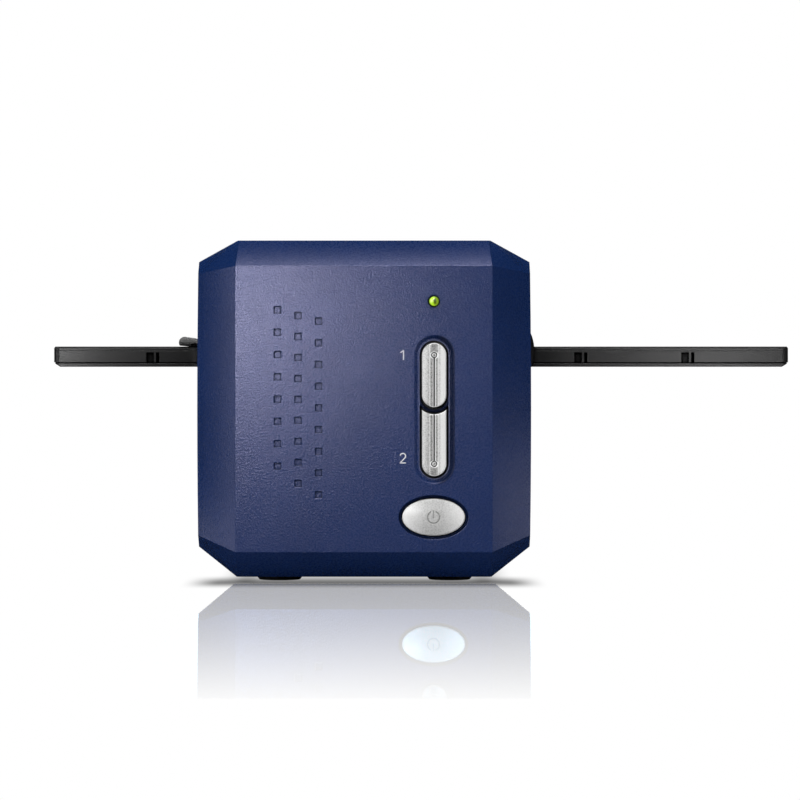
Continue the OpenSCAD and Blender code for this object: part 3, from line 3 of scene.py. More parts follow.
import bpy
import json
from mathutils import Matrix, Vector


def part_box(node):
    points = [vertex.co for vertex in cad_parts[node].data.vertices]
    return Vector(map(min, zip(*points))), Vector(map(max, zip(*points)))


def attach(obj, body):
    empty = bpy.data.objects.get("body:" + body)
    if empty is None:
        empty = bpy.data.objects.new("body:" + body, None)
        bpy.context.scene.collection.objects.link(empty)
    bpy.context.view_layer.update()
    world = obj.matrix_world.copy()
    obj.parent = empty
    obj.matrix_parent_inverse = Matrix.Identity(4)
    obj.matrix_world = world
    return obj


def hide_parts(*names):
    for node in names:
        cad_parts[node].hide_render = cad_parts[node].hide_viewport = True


bl_info = {
    "name": "Film Strip Scanner",
    "version": (1, 0, 0),
    "blender": (4, 5, 0),
    "location": "View3D > Sidebar > Film Scanner",
    "description": "Finishes, buttons, numerals and stage of a desktop scanner for strips of 35 mm film",
    "category": "Object",
}

import json
from functools import reduce
from math import pi, radians

import bmesh
import bpy
import numpy as np
from bpy.props import FloatProperty, FloatVectorProperty, PointerProperty
from bpy.types import Operator, Panel, PropertyGroup
from mathutils import Vector

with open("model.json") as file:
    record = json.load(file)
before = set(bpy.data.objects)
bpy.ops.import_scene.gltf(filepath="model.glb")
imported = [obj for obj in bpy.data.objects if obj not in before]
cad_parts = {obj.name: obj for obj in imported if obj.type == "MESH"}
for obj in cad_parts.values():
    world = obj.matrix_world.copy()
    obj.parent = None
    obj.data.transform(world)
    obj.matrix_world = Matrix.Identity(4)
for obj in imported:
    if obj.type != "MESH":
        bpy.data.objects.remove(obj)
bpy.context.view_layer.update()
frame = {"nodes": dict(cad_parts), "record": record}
MM = 0.001

# Sizes that the buttons' shapes and their finish share. Each button has a flange behind the front panel's
# wall and a stem to its switch. The power button has a mark: an open ring with a stroke through its gap.
KEY_FLANGE = 1.0 * MM
POWER_FLANGE = 1.8 * MM
FLANGE_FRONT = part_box("front_panel")[0].y + 2.8 * MM
FLANGE_BACK = FLANGE_FRONT + 1.2 * MM
STEM_RADIUS = 2.0 * MM
STEM_START = FLANGE_BACK - 0.2 * MM
MARK_RADIUS = 2.05 * MM
MARK_GAP = 0.75 * MM
MARK_MIDDLE = 1.05 * MM
MARK_REACH = 1.15 * MM
KEY_SHARP, THREAD_SHARP = 38, 30  # degrees from which an edge looks sharp


# ---------- sizes and colours ----------


def length(name, description, default):
    """A length in metres, shown in the units of the scene."""
    limits = {"min": 0, "unit": "LENGTH", "precision": 5}
    return FloatProperty(name=name, description=description, default=default, **limits)


def share(name, description, default):
    """A share from 0 to 1."""
    limits = {"min": 0, "max": 1, "subtype": "FACTOR"}
    return FloatProperty(name=name, description=description, default=default, **limits)


def colour(name, description, default):
    """A linear colour."""
    limits = {"size": 3, "min": 0, "max": 1, "subtype": "COLOR"}
    return FloatVectorProperty(name=name, description=description, default=default, **limits)


class SCANNER_PG_housing(PropertyGroup):
    blue: colour("Blue", "Colour of the moulded housing", (0.0052, 0.0235, 0.105))
    sheen: colour("Sheen", "Tint of the housing's sheen", (0.75, 0.73, 1.0))
    sheen_level: share("Sheen level", "Strength of the housing's sheen", 0.6)
    grain: length("Grain", "Size of the spark-eroded grain", 0.7 * MM)
    grain_depth: length("Grain depth", "Height of that grain", 0.11 * MM)
    roughness: share("Roughness", "Roughness of the satin surface", 0.27)
    edge: length("Edge radius", "Radius that every moulded edge appears to have", 0.4 * MM)
    nook: length("Nook", "How near a surface must be to darken a nook", 1.6 * MM)
    side_bevel: length("Side bevel", "Width of the bevels beside the front and back faces", 13.8 * MM)
    end_bevel: length("End bevel", "Height of the bevels above and below those faces", 9 * MM)
    swell: length("Swell", "How far each bevel swells out between its edges", 0.35 * MM)


class SCANNER_PG_blacks(PropertyGroup):
    holder: colour("Holder", "Colour of the strip holder", (0.013, 0.013, 0.0135))
    bezel: colour("Bezels", "Colour of the slot bezels and dust flaps", (0.012, 0.012, 0.013))
    rubber: colour("Feet", "Colour of the rubber feet", (0.018, 0.018, 0.018))
    inner: colour("Stray-light black", "Colour of the matt inner pieces", (0.008, 0.008, 0.009))


class SCANNER_PG_buttons(PropertyGroup):
    silver: colour("Silver", "Colour of the lacquered buttons", (0.95, 0.95, 0.94))
    core: colour("Core", "Colour of the bare plastic below the lacquer", (0.01, 0.01, 0.012))
    lacquer: length("Lacquer depth", "How far behind the front face the lacquer ends", 0.85 * MM)
    crown: length("Crown", "How far the scan buttons fall from their middle to their sides", 0.6 * MM)
    roll: length("Edge roll", "Radius along the edge of each button", 0.5 * MM)
    groove: length("Groove", "Width of the groove down each scan button", 1.4 * MM)
    groove_depth: length("Groove depth", "Depth of the slopes of that groove", 0.15 * MM)
    slot: length("Slot", "Width of the slot at the bottom of the groove", 0.44 * MM)
    slot_depth: length("Slot depth", "Depth of that slot below the slopes", 1.1 * MM)
    power_crown: length("Power crown", "How far the power button falls from its middle to its edge", 1.3 * MM)
    mark_depth: length("Mark depth", "Depth of the on and off mark", 0.26 * MM)


class SCANNER_PG_marks(PropertyGroup):
    ink: colour("Ink", "Colour of the printed numerals", (0.8, 0.8, 0.84))
    height: length("Numeral height", "Height of the numerals", 3.4 * MM)
    stroke: length("Stroke", "Width of a stroke", 0.4 * MM)
    glow: colour("Light", "Colour of the power light", (0.4, 0.66, 0.02))


class SCANNER_PG_stage(PropertyGroup):
    distance: length("Camera distance", "Distance from the camera to the front face", 1.25)
    height: length("Camera height", "Height of the camera above the table", 0.0752)
    aside: length("Camera offset", "Distance of the camera to the right of the housing's middle", 0.0125)
    lens: FloatProperty(name="Lens", description="Focal length", default=162.9, min=1, unit="CAMERA")
    drop: share("Camera drop", "How far the picture is shifted down, in widths", 0.042)
    ambient: share("Ambient light", "Strength of the even light from all round", 0.5)
    mirror: share("Sheet gloss", "Share of the mirror image close to the housing", 0.565)
    sheet: length("Sheet height", "Height of the clear sheet that carries the mirror image", 1.2 * MM)
    reach: length("Sheet length", "How far before the housing that sheet ends", 0.4435)
    lift: share("Table lift", "Light added to the table for the camera", 0.14)
    shade: share("Contact shade", "Darkness of the shade at the housing's front edge", 0.75)


def settings():
    return bpy.context.scene.film_scanner


class SCANNER_PG_settings(PropertyGroup):
    housing: PointerProperty(type=SCANNER_PG_housing)
    blacks: PointerProperty(type=SCANNER_PG_blacks)
    buttons: PointerProperty(type=SCANNER_PG_buttons)
    marks: PointerProperty(type=SCANNER_PG_marks)
    stage: PointerProperty(type=SCANNER_PG_stage)


# ---------- finishes ----------

BLACK = (0, 0, 0)
NOISE = (0.3, 0.7)  # nearly all of a cloudy noise lies between these


class Finish:
    """A material whose patterns read Object coordinates, so that each stays where it is on its piece."""

    def __init__(self, name, roughness=0.5, metallic=0.0, **values):
        self.material = bpy.data.materials.new(name)
        self.material.use_nodes = True
        self.tree = self.material.node_tree
        self.surface = self.tree.nodes["Principled BSDF"]
        self.surface.inputs["Roughness"].default_value = roughness
        self.surface.inputs["Metallic"].default_value = metallic
        for socket, value in values.items():
            self.surface.inputs[socket.replace("_", " ")].default_value = value
        self.place = self.add("ShaderNodeTexCoord").outputs["Object"]

    def add(self, kind, **options):
        node = self.tree.nodes.new(kind)
        for key, value in options.items():
            setattr(node, key, value)
        return node

    def put(self, value, socket):
        """Puts a number, a colour's three numbers or another node's output into a socket."""
        if isinstance(value, bpy.types.NodeSocket):
            self.tree.links.new(value, socket)
        elif isinstance(value, tuple):
            socket.default_value = (*value, 1)
        else:
            socket.default_value = value

    def math(self, operation, first, second=None):
        node = self.add("ShaderNodeMath", operation=operation)
        self.put(first, node.inputs[0])
        if second is not None:
            self.put(second, node.inputs[1])
        return node.outputs[0]

    def times(self, *values):
        """Product of the values."""
        return reduce(lambda first, second: self.math("MULTIPLY", first, second), values)

    def plus(self, first, second):
        return self.math("ADD", first, second)

    def minus(self, first, second):
        return self.math("SUBTRACT", first, second)

    def rest(self, taken):
        """What a share leaves of 1."""
        return self.minus(1.0, taken)

    def apart(self, value, centre):
        """Distance between a value and a centre."""
        return self.math("ABSOLUTE", self.minus(value, centre))

    def diagonal(self, first, second):
        """Square root of the sum of two squares."""
        return self.math("SQRT", self.plus(self.times(first, first), self.times(second, second)))

    def spread(self, value, low, high, new_low=0, new_high=1, curve="LINEAR"):
        """Carries a value from the stretch between low and high to the one between new_low and new_high."""
        node = self.add("ShaderNodeMapRange", interpolation_type=curve)
        sockets = ("From Min", "From Max", "To Min", "To Max")
        for socket, number in zip(sockets, (low, high, new_low, new_high)):
            node.inputs[socket].default_value = number
        self.put(value, node.inputs["Value"])
        return node.outputs["Result"]

    def fade(self, value, low, high, full=1, curve="LINEAR"):
        """Full below low and 0 above high."""
        return self.spread(value, low, high, full, 0, curve)

    def stretched(self, along):
        """Object coordinates, scaled by along."""
        node = self.add("ShaderNodeMapping")
        node.inputs["Scale"].default_value = along
        self.put(self.place, node.inputs["Vector"])
        return node.outputs[0]

    def noise(self, size, detail=2.0, place=None, rough=0.5):
        """Cloudy noise whose features are about size metres across."""
        node = self.add("ShaderNodeTexNoise")
        node.inputs["Scale"].default_value = 1 / size
        node.inputs["Detail"].default_value = detail
        node.inputs["Roughness"].default_value = rough
        self.put(place or self.place, node.inputs["Vector"])
        return node.outputs["Fac"]

    def cells(self, size):
        """Distance to the middle of the nearest cell, for pads and pores of one size."""
        node = self.add("ShaderNodeTexVoronoi", feature="F1")
        node.inputs["Scale"].default_value = 1 / size
        self.put(self.place, node.inputs["Vector"])
        return node.outputs["Distance"]

    def axes(self):
        """X, Y and Z of the Object coordinates, each as an output."""
        node = self.add("ShaderNodeSeparateXYZ")
        self.put(self.place, node.inputs[0])
        return node.outputs

    def openness(self, distance):
        """1 on an open surface, less in nooks where other surfaces are nearer than distance."""
        node = self.add("ShaderNodeAmbientOcclusion", samples=12)
        node.inputs["Distance"].default_value = distance
        return node.outputs["AO"]

    def mixed(self, factor, low, high):
        """Colour that goes from low to high with factor. Either may be three numbers or a node's output."""
        node = self.add("ShaderNodeMix", data_type="RGBA")
        for value, socket in ((factor, "Factor"), (low, 6), (high, 7)):
            self.put(value, node.inputs[socket])
        return node.outputs[2]

    def blend(self, factor, first, second):
        """Shader that goes from first to second with factor."""
        node = self.add("ShaderNodeMixShader")
        for value, socket in zip((factor, first.outputs[0], second.outputs[0]), node.inputs):
            self.put(value, socket)
        return node

    def emission(self, strength):
        """White light of a strength."""
        node = self.add("ShaderNodeEmission")
        self.put(strength, node.inputs["Strength"])
        return node

    def show(self, shader):
        """Shows a shader where the plain surface would be."""
        self.put(shader.outputs[0], self.tree.nodes["Material Output"].inputs["Surface"])
        return self.material

    def feed(self, socket, output):
        """Joins an output to a socket of the surface."""
        self.put(output, self.surface.inputs[socket])
        return self

    def fed(self, socket):
        """The output that is joined to a socket of the surface."""
        return self.surface.inputs[socket].links[0].from_socket

    def paint(self, output):
        return self.feed("Base Color", output)

    def vary_roughness(self, factor, low, high):
        return self.feed("Roughness", self.spread(factor, *NOISE, low, high))

    def relief(self, height, depth, edge, form=None):
        """Bump of a depth over a broad form, with edges that look rounded by edge, all in metres."""
        rounded = self.add("ShaderNodeBevel", samples=6)
        rounded.inputs["Radius"].default_value = edge
        normal = rounded.outputs[0]
        layers = [(height, depth)] if form is None else [(form, 1.0), (height, depth)]
        for source, distance in layers:
            bump = self.add("ShaderNodeBump")
            bump.inputs["Distance"].default_value = distance
            self.put(source, bump.inputs["Height"])
            self.put(normal, bump.inputs["Normal"])
            normal = bump.outputs[0]
        return self.feed("Normal", normal)


def shade(colour_value, factor):
    """A colour made lighter or darker by a factor."""
    return tuple(min(1.0, c * factor) for c in colour_value)


def moulded(name, base, grain, depth, roughness, edge, contrast, form=None, **values):
    """Moulded plastic: fine grain over broad, faint clouds of shade. The grain's hollows are a little duller.
    form makes the height of a broad form from the finish."""
    finish = Finish(name, roughness, **values)
    fine = finish.noise(grain, 3.0, rough=0.6)
    clouds = finish.noise(18 * MM, 2.0)
    grain_share, cloud_share = 0.55, 0.45
    sum_of_both = finish.plus(finish.times(fine, grain_share), finish.times(clouds, cloud_share))
    tone = finish.spread(sum_of_both, *NOISE)
    finish.paint(finish.mixed(tone, shade(base, 1 - contrast), shade(base, 1 + contrast)))
    finish.vary_roughness(fine, roughness + 0.06, roughness - 0.04)
    return finish.relief(fine, depth, edge, form(finish) if form else None)


def bevel_swell(finish):
    """Height of the swell on the bevels of both caps: 4 t (1 - t) times the swell, with t the share of the
    way across a bevel. It fades out over a short stretch behind the bevels."""
    own = settings().housing
    front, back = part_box("front_panel"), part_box("rear_panel")
    bevel_depth, fade_depth = 11 * MM, 3 * MM
    axes = finish.axes()

    def across(axis, low, high, width):
        half = (high - low) / 2
        t = finish.spread(finish.apart(axes[axis], (low + high) / 2), half - width, half)
        return finish.times(t, finish.rest(t))

    sides = across("X", front[0].x, front[1].x, own.side_bevel)
    ends = across("Z", front[0].z, front[1].z, own.end_bevel)
    middle, half = (front[0].y + back[1].y) / 2, (back[1].y - front[0].y) / 2
    along = finish.apart(axes["Y"], middle)
    caps = finish.spread(along, half - bevel_depth - fade_depth, half - bevel_depth)
    return finish.times(finish.plus(sides, ends), caps, 4 * own.swell)


def dark_nooks(finish, distance, level):
    """Painted shade in nooks: darkens the colour and takes the sheen's level down where other surfaces are
    nearer than distance.
    """
    open_share = finish.openness(distance)
    black, dull, plain = 0.25, 0.5, 0.9
    finish.paint(finish.mixed(finish.spread(open_share, black, plain), BLACK, finish.fed("Base Color")))
    return finish.feed("Specular IOR Level", finish.spread(open_share, dull, plain, 0, level))


def band_shades(finish):
    """Painted shade and a painted edge light in the sunk band round the scan buttons. The painted shade lies
    on the bridge between them and on the band's right side, and the painted edge light runs round the rim of
    their hole. Both go by the distance from that rim in X and Z alone, so they fall on the rear panel too.
    Returns the painted shade's share."""
    lower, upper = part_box("scan_button_lower"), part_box("scan_button_upper")
    half = (lower[1].x - lower[0].x) / 2
    rim_inset = 0.2 * MM
    light_end = (0.25 * MM, 0.4 * MM)
    band_end = (2.0 * MM, 2.4 * MM)
    bridge_shade, side_shade, edge_light = 0.8, 0.65, 0.5
    axes = finish.axes()
    across = finish.minus(axes["X"], (lower[0].x + lower[1].x) / 2)
    spine = finish.math("MINIMUM", finish.math("MAXIMUM", axes["Z"], lower[0].z + half), upper[1].z - half)
    away = finish.minus(finish.diagonal(across, finish.minus(axes["Z"], spine)), half - rim_inset)
    bridge = finish.fade(away, -rim_inset, 0, bridge_shade)
    right = finish.spread(across, 0, 3 * MM, 0, side_shade)
    side = finish.times(finish.spread(away, *light_end), right, finish.fade(away, *band_end))
    dark = finish.math("MAXIMUM", bridge, side)
    lit = finish.times(finish.spread(away, 0, 0.08 * MM, 0, edge_light), finish.fade(away, *light_end))
    # Painted shade darkens the blue towards black, and the painted edge light mixes in a pale blue.
    shaded = finish.mixed(dark, finish.fed("Base Color"), BLACK)
    finish.paint(finish.mixed(lit, shaded, (0.2, 0.22, 0.34)))
    return dark


def housing_finish():
    """Deep blue moulding with a spark-eroded grain and a bluish sheen. Painted shade darkens both in nooks
    and in the sunk band round the scan buttons, which also has a painted edge light.
    """
    own = settings().housing
    grain = (own.grain, own.grain_depth, own.roughness, own.edge)
    tint = (*own.sheen, 1)
    finish = moulded("scanner_blue", tuple(own.blue), *grain, 0.14, bevel_swell, Specular_Tint=tint)
    shaded = band_shades(finish)
    dark_nooks(finish, own.nook, own.sheen_level)
    level = "Specular IOR Level"
    # The band's painted shade also takes the sheen away there.
    return finish.feed(level, finish.times(finish.fed(level), finish.rest(shaded)))


def drawn_metal(name, base, roughness, grain, along):
    """Metal with fine lines drawn along one axis, and faint cloudy patches of duller metal."""
    finish = Finish(name, roughness, 1.0)
    lines = finish.noise(grain, 2.0, finish.stretched(along))
    patches = finish.noise(9 * MM, 3.0)
    finish.paint(finish.mixed(lines, shade(base, 0.84), shade(base, 1.08)))
    wear = finish.times(finish.plus(lines, patches), 0.5)
    finish.vary_roughness(wear, roughness - 0.07, roughness + 0.1)
    return finish.relief(lines, 0.012 * MM, 0.15 * MM)


class Lacquer(Finish):
    """Silver lacquer, brushed lightly up and down, over dark plastic, with dark specks."""

    def __init__(self, name):
        super().__init__(name, 0.3, Specular_IOR_Level=0.3)
        own = settings().buttons
        self.base, self.bare = tuple(own.silver), tuple(own.core)
        self.flakes = self.noise(0.45 * MM, 2.0, rough=0.7)
        brushed = self.noise(0.3 * MM, 2.0, self.stretched((1, 1, 0.06)))
        flake_share, brush_share = 0.7, 0.3
        tone = self.plus(self.times(self.flakes, flake_share), self.times(brushed, brush_share))
        self.grain = self.spread(tone, *NOISE)
        self.specks = self.fade(self.flakes, 0.38, 0.52)

    def toned(self, low, high):
        """Lacquer whose grain goes between two shares of the silver."""
        return self.mixed(self.grain, shade(self.base, low), shade(self.base, high))

    def coat(self, across, half, middle_shade, left, right, dotted):
        """Lacquer of one button of a half width. Its tone is a painted reflection: darker down the middle and
        lighter towards the sides. The first share is that of the full tone in the middle, and dotted is its
        share of bare dots. It grows to the full tone over a stretch on the left and one on the right, each
        given in half widths."""
        flank_left = self.spread(across, -left[0] * half, -left[1] * half)
        flank = self.math("MAXIMUM", flank_left, self.spread(across, right[0] * half, right[1] * half))
        dots = self.times(self.fade(flank, 0, 1, dotted), self.specks)
        # Painted shade down the middle of the button.
        shaded_middle = self.toned(0.8 * middle_shade, 1.15 * middle_shade)
        return self.mixed(dots, self.mixed(flank, shaded_middle, self.toned(0.93, 1.05)), self.bare)


def painted_groove(finish, coat, across, depth):
    """The coat of a scan button with its groove, at a depth behind the button's front: a painted highlight on
    the groove's slopes, and painted shade, in the core's dark colour, in its slot."""
    near = finish.fade(finish.math("ABSOLUTE", across), 1.6 * MM, 1.65 * MM)
    slope = finish.times(near, finish.spread(depth, 0.05 * MM, 0.09 * MM))
    slot = finish.times(near, finish.spread(depth, 0.28 * MM, 0.4 * MM))
    return finish.mixed(slot, finish.mixed(slope, coat, shade(finish.base, 1.1)), finish.bare)


def painted_mark(finish, coat, across, up):
    """The coat of the power button with its mark: painted shade, towards the core's dark colour, along the
    ring and the stroke of power_mark.
    """
    mark_shade = 0.4
    out = finish.math("ABSOLUTE", across)
    ring = finish.fade(finish.apart(finish.diagonal(out, up), MARK_RADIUS), 0.15 * MM, 0.3 * MM)
    gap = finish.times(finish.fade(out, MARK_GAP, MARK_GAP + 0.1 * MM), finish.spread(up, 0, 0.2 * MM))
    tall = finish.fade(finish.apart(up, MARK_MIDDLE), MARK_REACH + 0.05 * MM, MARK_REACH + 0.2 * MM)
    stroke = finish.times(finish.fade(out, 0.12 * MM, 0.28 * MM), tall)
    mark = finish.math("MAXIMUM", finish.times(ring, finish.rest(gap)), stroke)
    return finish.mixed(finish.times(mark, mark_shade), coat, finish.bare)


def silver_finish():
    """Lacquer of the three buttons, which ends a little inside their holes. It is speckled down the middle of
    each, and its tone is a painted reflection: darker down the middle and lighter towards the sides."""
    own = settings().buttons
    finish = Lacquer("button_lacquer")
    axes = finish.axes()
    low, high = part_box("scan_button_lower")
    across = finish.minus(axes["X"], (low.x + high.x) / 2)
    half = (high.x - low.x) / 2 - KEY_FLANGE
    # Painted reflection on each button: darker down the middle, lighter towards the sides.
    scan_coat = finish.coat(across, half, middle_shade=0.4, left=(0.28, 1.15), right=(0.13, 0.6), dotted=0.6)
    scan_coat = painted_groove(finish, scan_coat, across, finish.minus(axes["Y"], low.y))
    power_low, power_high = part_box("power_button")
    across = finish.minus(axes["X"], (power_low.x + power_high.x) / 2)
    half = (power_high.x - power_low.x) / 2 - POWER_FLANGE
    power_coat = finish.coat(across, half, middle_shade=0.66, left=(0.25, 0.9), right=(0.25, 0.9), dotted=0.16)
    up = finish.minus(axes["Z"], (power_low.z + power_high.z) / 2)
    power_coat = painted_mark(finish, power_coat, across, up)
    is_scan = finish.spread(axes["Z"], power_high.z, low.z)
    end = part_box("front_panel")[0].y + own.lacquer
    ended = finish.spread(axes["Y"], end, end + 0.1 * MM)
    finish.paint(finish.mixed(ended, finish.mixed(is_scan, power_coat, scan_coat), finish.bare))
    finish.vary_roughness(finish.flakes, 0.25, 0.38)
    return finish.relief(finish.flakes, 0.012 * MM, 0.1 * MM)


def glowing_finish():
    """Clear green light window that glows, with a painted highlight as a pale oval at the left. It is dark in
    an oval and at the rim.
    """
    glow = tuple(settings().marks.glow)
    low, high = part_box("light_pipe")
    middle, radius = (low + high) / 2, (high.x - low.x) / 2
    finish = Finish("light_window", 0.12, 0.0, Coat_Weight=0.6, Coat_Roughness=0.05)
    axes = finish.axes()

    def oval(x, z, half_x, half_z, inner, outer):
        """1 inside an oval round x and z, in radii of the window, going to 0 between inner and outer."""
        out_x = finish.math("DIVIDE", finish.minus(axes["X"], middle.x + x * radius), half_x * radius)
        out_z = finish.math("DIVIDE", finish.minus(axes["Z"], middle.z + z * radius), half_z * radius)
        return finish.fade(finish.diagonal(out_x, out_z), inner, outer)

    lit = finish.mixed(oval(0, 0, 1, 1, 0.8, 0.98), (0.004, 0.008, 0.0), glow)
    duller = finish.mixed(oval(0.5, 0, 0.75, 1.0, 0.5, 1.2), lit, shade(glow, 0.45))
    dark = finish.mixed(oval(0.22, 0.0, 0.3, 0.62, 0.6, 1.2), duller, shade(glow, 0.12))
    # Painted highlight: a pale oval at the left, which glows.
    bright = finish.mixed(oval(-0.5, 0.05, 0.25, 0.42, 0.2, 1.2), dark, (0.95, 1.0, 0.5))
    finish.surface.inputs["Emission Strength"].default_value = 0.6
    return finish.paint(dark).feed("Emission Color", bright)


def board_finish():
    """Green solder mask over copper tracks, with rows of pale pads."""
    finish = Finish("solder_mask", 0.32, 0.0, Coat_Weight=0.3, Coat_Roughness=0.12)
    tracks = finish.add("ShaderNodeTexBrick", offset=0.5, squash=1.0)
    tracks.inputs["Scale"].default_value = 1 / (14 * MM)
    tracks.inputs["Mortar Size"].default_value = 0.035
    tracks.inputs["Mortar Smooth"].default_value = 0.3
    finish.put(finish.place, tracks.inputs["Vector"])
    pads = finish.fade(finish.cells(2.4 * MM), 0.16, 0.2)
    cloud = finish.noise(6 * MM, 3.0)
    mask = finish.mixed(cloud, (0.008, 0.075, 0.03), (0.014, 0.11, 0.045))
    copper = finish.mixed(tracks.outputs["Fac"], mask, (0.03, 0.19, 0.075))
    finish.paint(finish.mixed(finish.times(pads, 0.75), copper, (0.55, 0.5, 0.38)))
    finish.vary_roughness(cloud, 0.26, 0.4)
    return finish.relief(tracks.outputs["Fac"], 0.03 * MM, 0.1 * MM)


def bronze_finish():
    """Sintered bronze, with the small dark pores that hold its oil."""
    finish = Finish("sintered_bronze", 0.38, 1.0)
    pores = finish.spread(finish.cells(0.45 * MM), 0.12, 0.32)
    cloud = finish.noise(3 * MM, 3.0)
    metal = finish.mixed(cloud, (0.5, 0.31, 0.12), (0.68, 0.46, 0.22))
    finish.paint(finish.mixed(pores, (0.12, 0.07, 0.03), metal))
    finish.vary_roughness(cloud, 0.32, 0.48)
    return finish.relief(pores, 0.03 * MM, 0.15 * MM)


def mirror_finish():
    """Front-surface mirror with the faintest haze."""
    finish = Finish("mirror_coat", 0.03, 1.0)
    haze = finish.noise(5 * MM, 3.0)
    finish.paint(finish.mixed(haze, (0.82, 0.85, 0.88), (0.9, 0.92, 0.94)))
    return finish.vary_roughness(haze, 0.02, 0.06)


def lens_finish():
    """Coated lens glass: clear, with a blue-violet reflection."""
    glass = {"Transmission_Weight": 1.0, "IOR": 1.52, "Coat_Weight": 0.5, "Coat_Tint": (0.55, 0.6, 1, 1)}
    finish = Finish("coated_glass", 0.02, 0.0, **glass)
    haze = finish.noise(4 * MM, 2.0)
    return finish.paint(finish.mixed(haze, (0.88, 0.93, 0.97), (0.95, 0.97, 1.0)))


def opal_finish():
    """Opal white of the lamp's parts: milky, a little uneven, with soft light under its skin."""
    finish = Finish("opal_white", 0.3, 0.0, Subsurface_Weight=0.2, Subsurface_Scale=0.002)
    cloud = finish.noise(5 * MM, 3.0)
    finish.paint(finish.mixed(cloud, (0.78, 0.78, 0.75), (0.88, 0.88, 0.86)))
    finish.vary_roughness(cloud, 0.25, 0.4)
    return finish.relief(finish.noise(0.5 * MM), 0.006 * MM, 0.15 * MM)


def all_finishes():
    """One finish for each of the record's material slots. The numbers of a moulding are its grain's size and
    depth, its roughness, its edge radius and its contrast. Those of a metal are its roughness, the width of
    its lines and their scale along X, Y and Z."""
    black = settings().blacks
    holder, bezel, rubber = tuple(black.holder), tuple(black.bezel), tuple(black.rubber)
    inner, grey = tuple(black.inner), (0.045, 0.048, 0.052)
    holder_plastic = moulded("holder_charcoal", holder, 0.4 * MM, 0.02 * MM, 0.36, 0.25 * MM, 0.15)
    return {
        "housing_blue": housing_finish(),
        # The holder also gets painted shade in its nooks.
        "holder_black": dark_nooks(holder_plastic, 3 * MM, 0.3),
        "bezel_black": moulded("bezel_black", bezel, 0.45 * MM, 0.02 * MM, 0.33, 0.3 * MM, 0.2),
        "foot_rubber": moulded("foot_rubber", rubber, 0.7 * MM, 0.06 * MM, 0.78, 0.4 * MM, 0.25),
        "inner_black": moulded("stray_light_black", inner, 0.35 * MM, 0.03 * MM, 0.7, 0.2 * MM, 0.25),
        "frame_grey": moulded("filled_grey", grey, 0.9 * MM, 0.03 * MM, 0.55, 0.25 * MM, 0.3),
        "button_silver": silver_finish(),
        "light_green": glowing_finish(),
        "lamp_white": opal_finish(),
        "board_green": board_finish(),
        "bronze": bronze_finish(),
        "mirror": mirror_finish(),
        "lens_glass": lens_finish(),
        "steel": drawn_metal("drawn_steel", (0.5, 0.51, 0.53), 0.3, 0.25 * MM, (1, 0.04, 1)),
        "socket_metal": drawn_metal("tinned_sheet", (0.6, 0.61, 0.62), 0.34, 0.3 * MM, (0.08, 1, 1)),
    }


FINISHES = {}


def finish_for(slot):
    """The material of a slot, made once."""
    if not FINISHES:
        FINISHES.update(all_finishes())
    return FINISHES[slot].material


def dress(*nodes):
    """Puts the finish of its slot on each material slot of the named CAD nodes."""
    slots = {row["slot"] for row in frame["record"]["materials"]}
    for node in nodes:
        for slot in frame["nodes"][node].material_slots:
            name = slot.material.name.split(".")[0]
            if name in slots:
                slot.material = finish_for(name)


# ---------- surfaces ----------


def grid_faces(rows, columns, closed=False):
    """Quads between the points of a grid, row by row. A closed grid joins its last column to its first."""
    row = np.arange(rows - 1)[:, None]
    column = np.arange(columns if closed else columns - 1)[None, :]
    a = row * columns + column
    b = row * columns + (column + 1) % columns
    return np.stack([a, b, b + columns, a + columns], -1).reshape(-1, 4)


def fan_faces(ring, centre):
    """Triangles from a ring of point numbers to one centre."""
    return np.stack([ring, np.roll(ring, -1), np.full(len(ring), centre)], -1)


def smooth_step(value, low, high):
    """0 below low, 1 above high, and 3t^2 - 2t^3 between them."""
    t = np.clip((value - low) / (high - low), 0, 1)
    return t * t * (3 - 2 * t)


def edge_drop(inside, roll):
    """Fall of a quarter-round edge at a distance inside it: roll less the height of a circle of that size."""
    t = np.clip(inside, 0, roll)
    return roll - np.sqrt(np.maximum(roll * roll - (roll - t) ** 2, 0))


def put_piece(name, points, faces, slot, body, sharp=40, replaced=()):
    """One mesh of points and faces that rides on a body. Its seams are closed and its faces turned out."""
    mesh = bpy.data.meshes.new(name)
    mesh.from_pydata(points.tolist(), [], [f.tolist() for part in faces for f in part])
    work = bmesh.new()
    work.from_mesh(mesh)
    bmesh.ops.remove_doubles(work, verts=work.verts, dist=1e-6)
    bmesh.ops.recalc_face_normals(work, faces=work.faces)
    work.to_mesh(mesh)
    work.free()
    mesh.shade_smooth()
    mesh.set_sharp_from_angle(angle=radians(sharp))
    mesh.materials.append(slot if isinstance(slot, bpy.types.Material) else finish_for(slot))
    piece = bpy.data.objects.new(name, mesh)
    bpy.context.scene.collection.objects.link(piece)
    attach(piece, body)
    if replaced:
        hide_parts(*replaced)
    return piece


def ring_walls(rings):
    """Points and faces of walls between closed rings of equally many points, in order."""
    count = rings[0].shape[0]
    return np.concatenate(rings), grid_faces(len(rings), count, closed=True)


def outline_normals(loop):
    """Unit normals in X and Z of a closed loop: its tangent, by central differences, turned a quarter."""
    tangent = np.roll(loop, -1, 0) - np.roll(loop, 1, 0)
    normal = np.stack([tangent[:, 2], -tangent[:, 0]], -1)
    return normal / np.maximum(np.linalg.norm(normal, axis=1, keepdims=True), 1e-12)


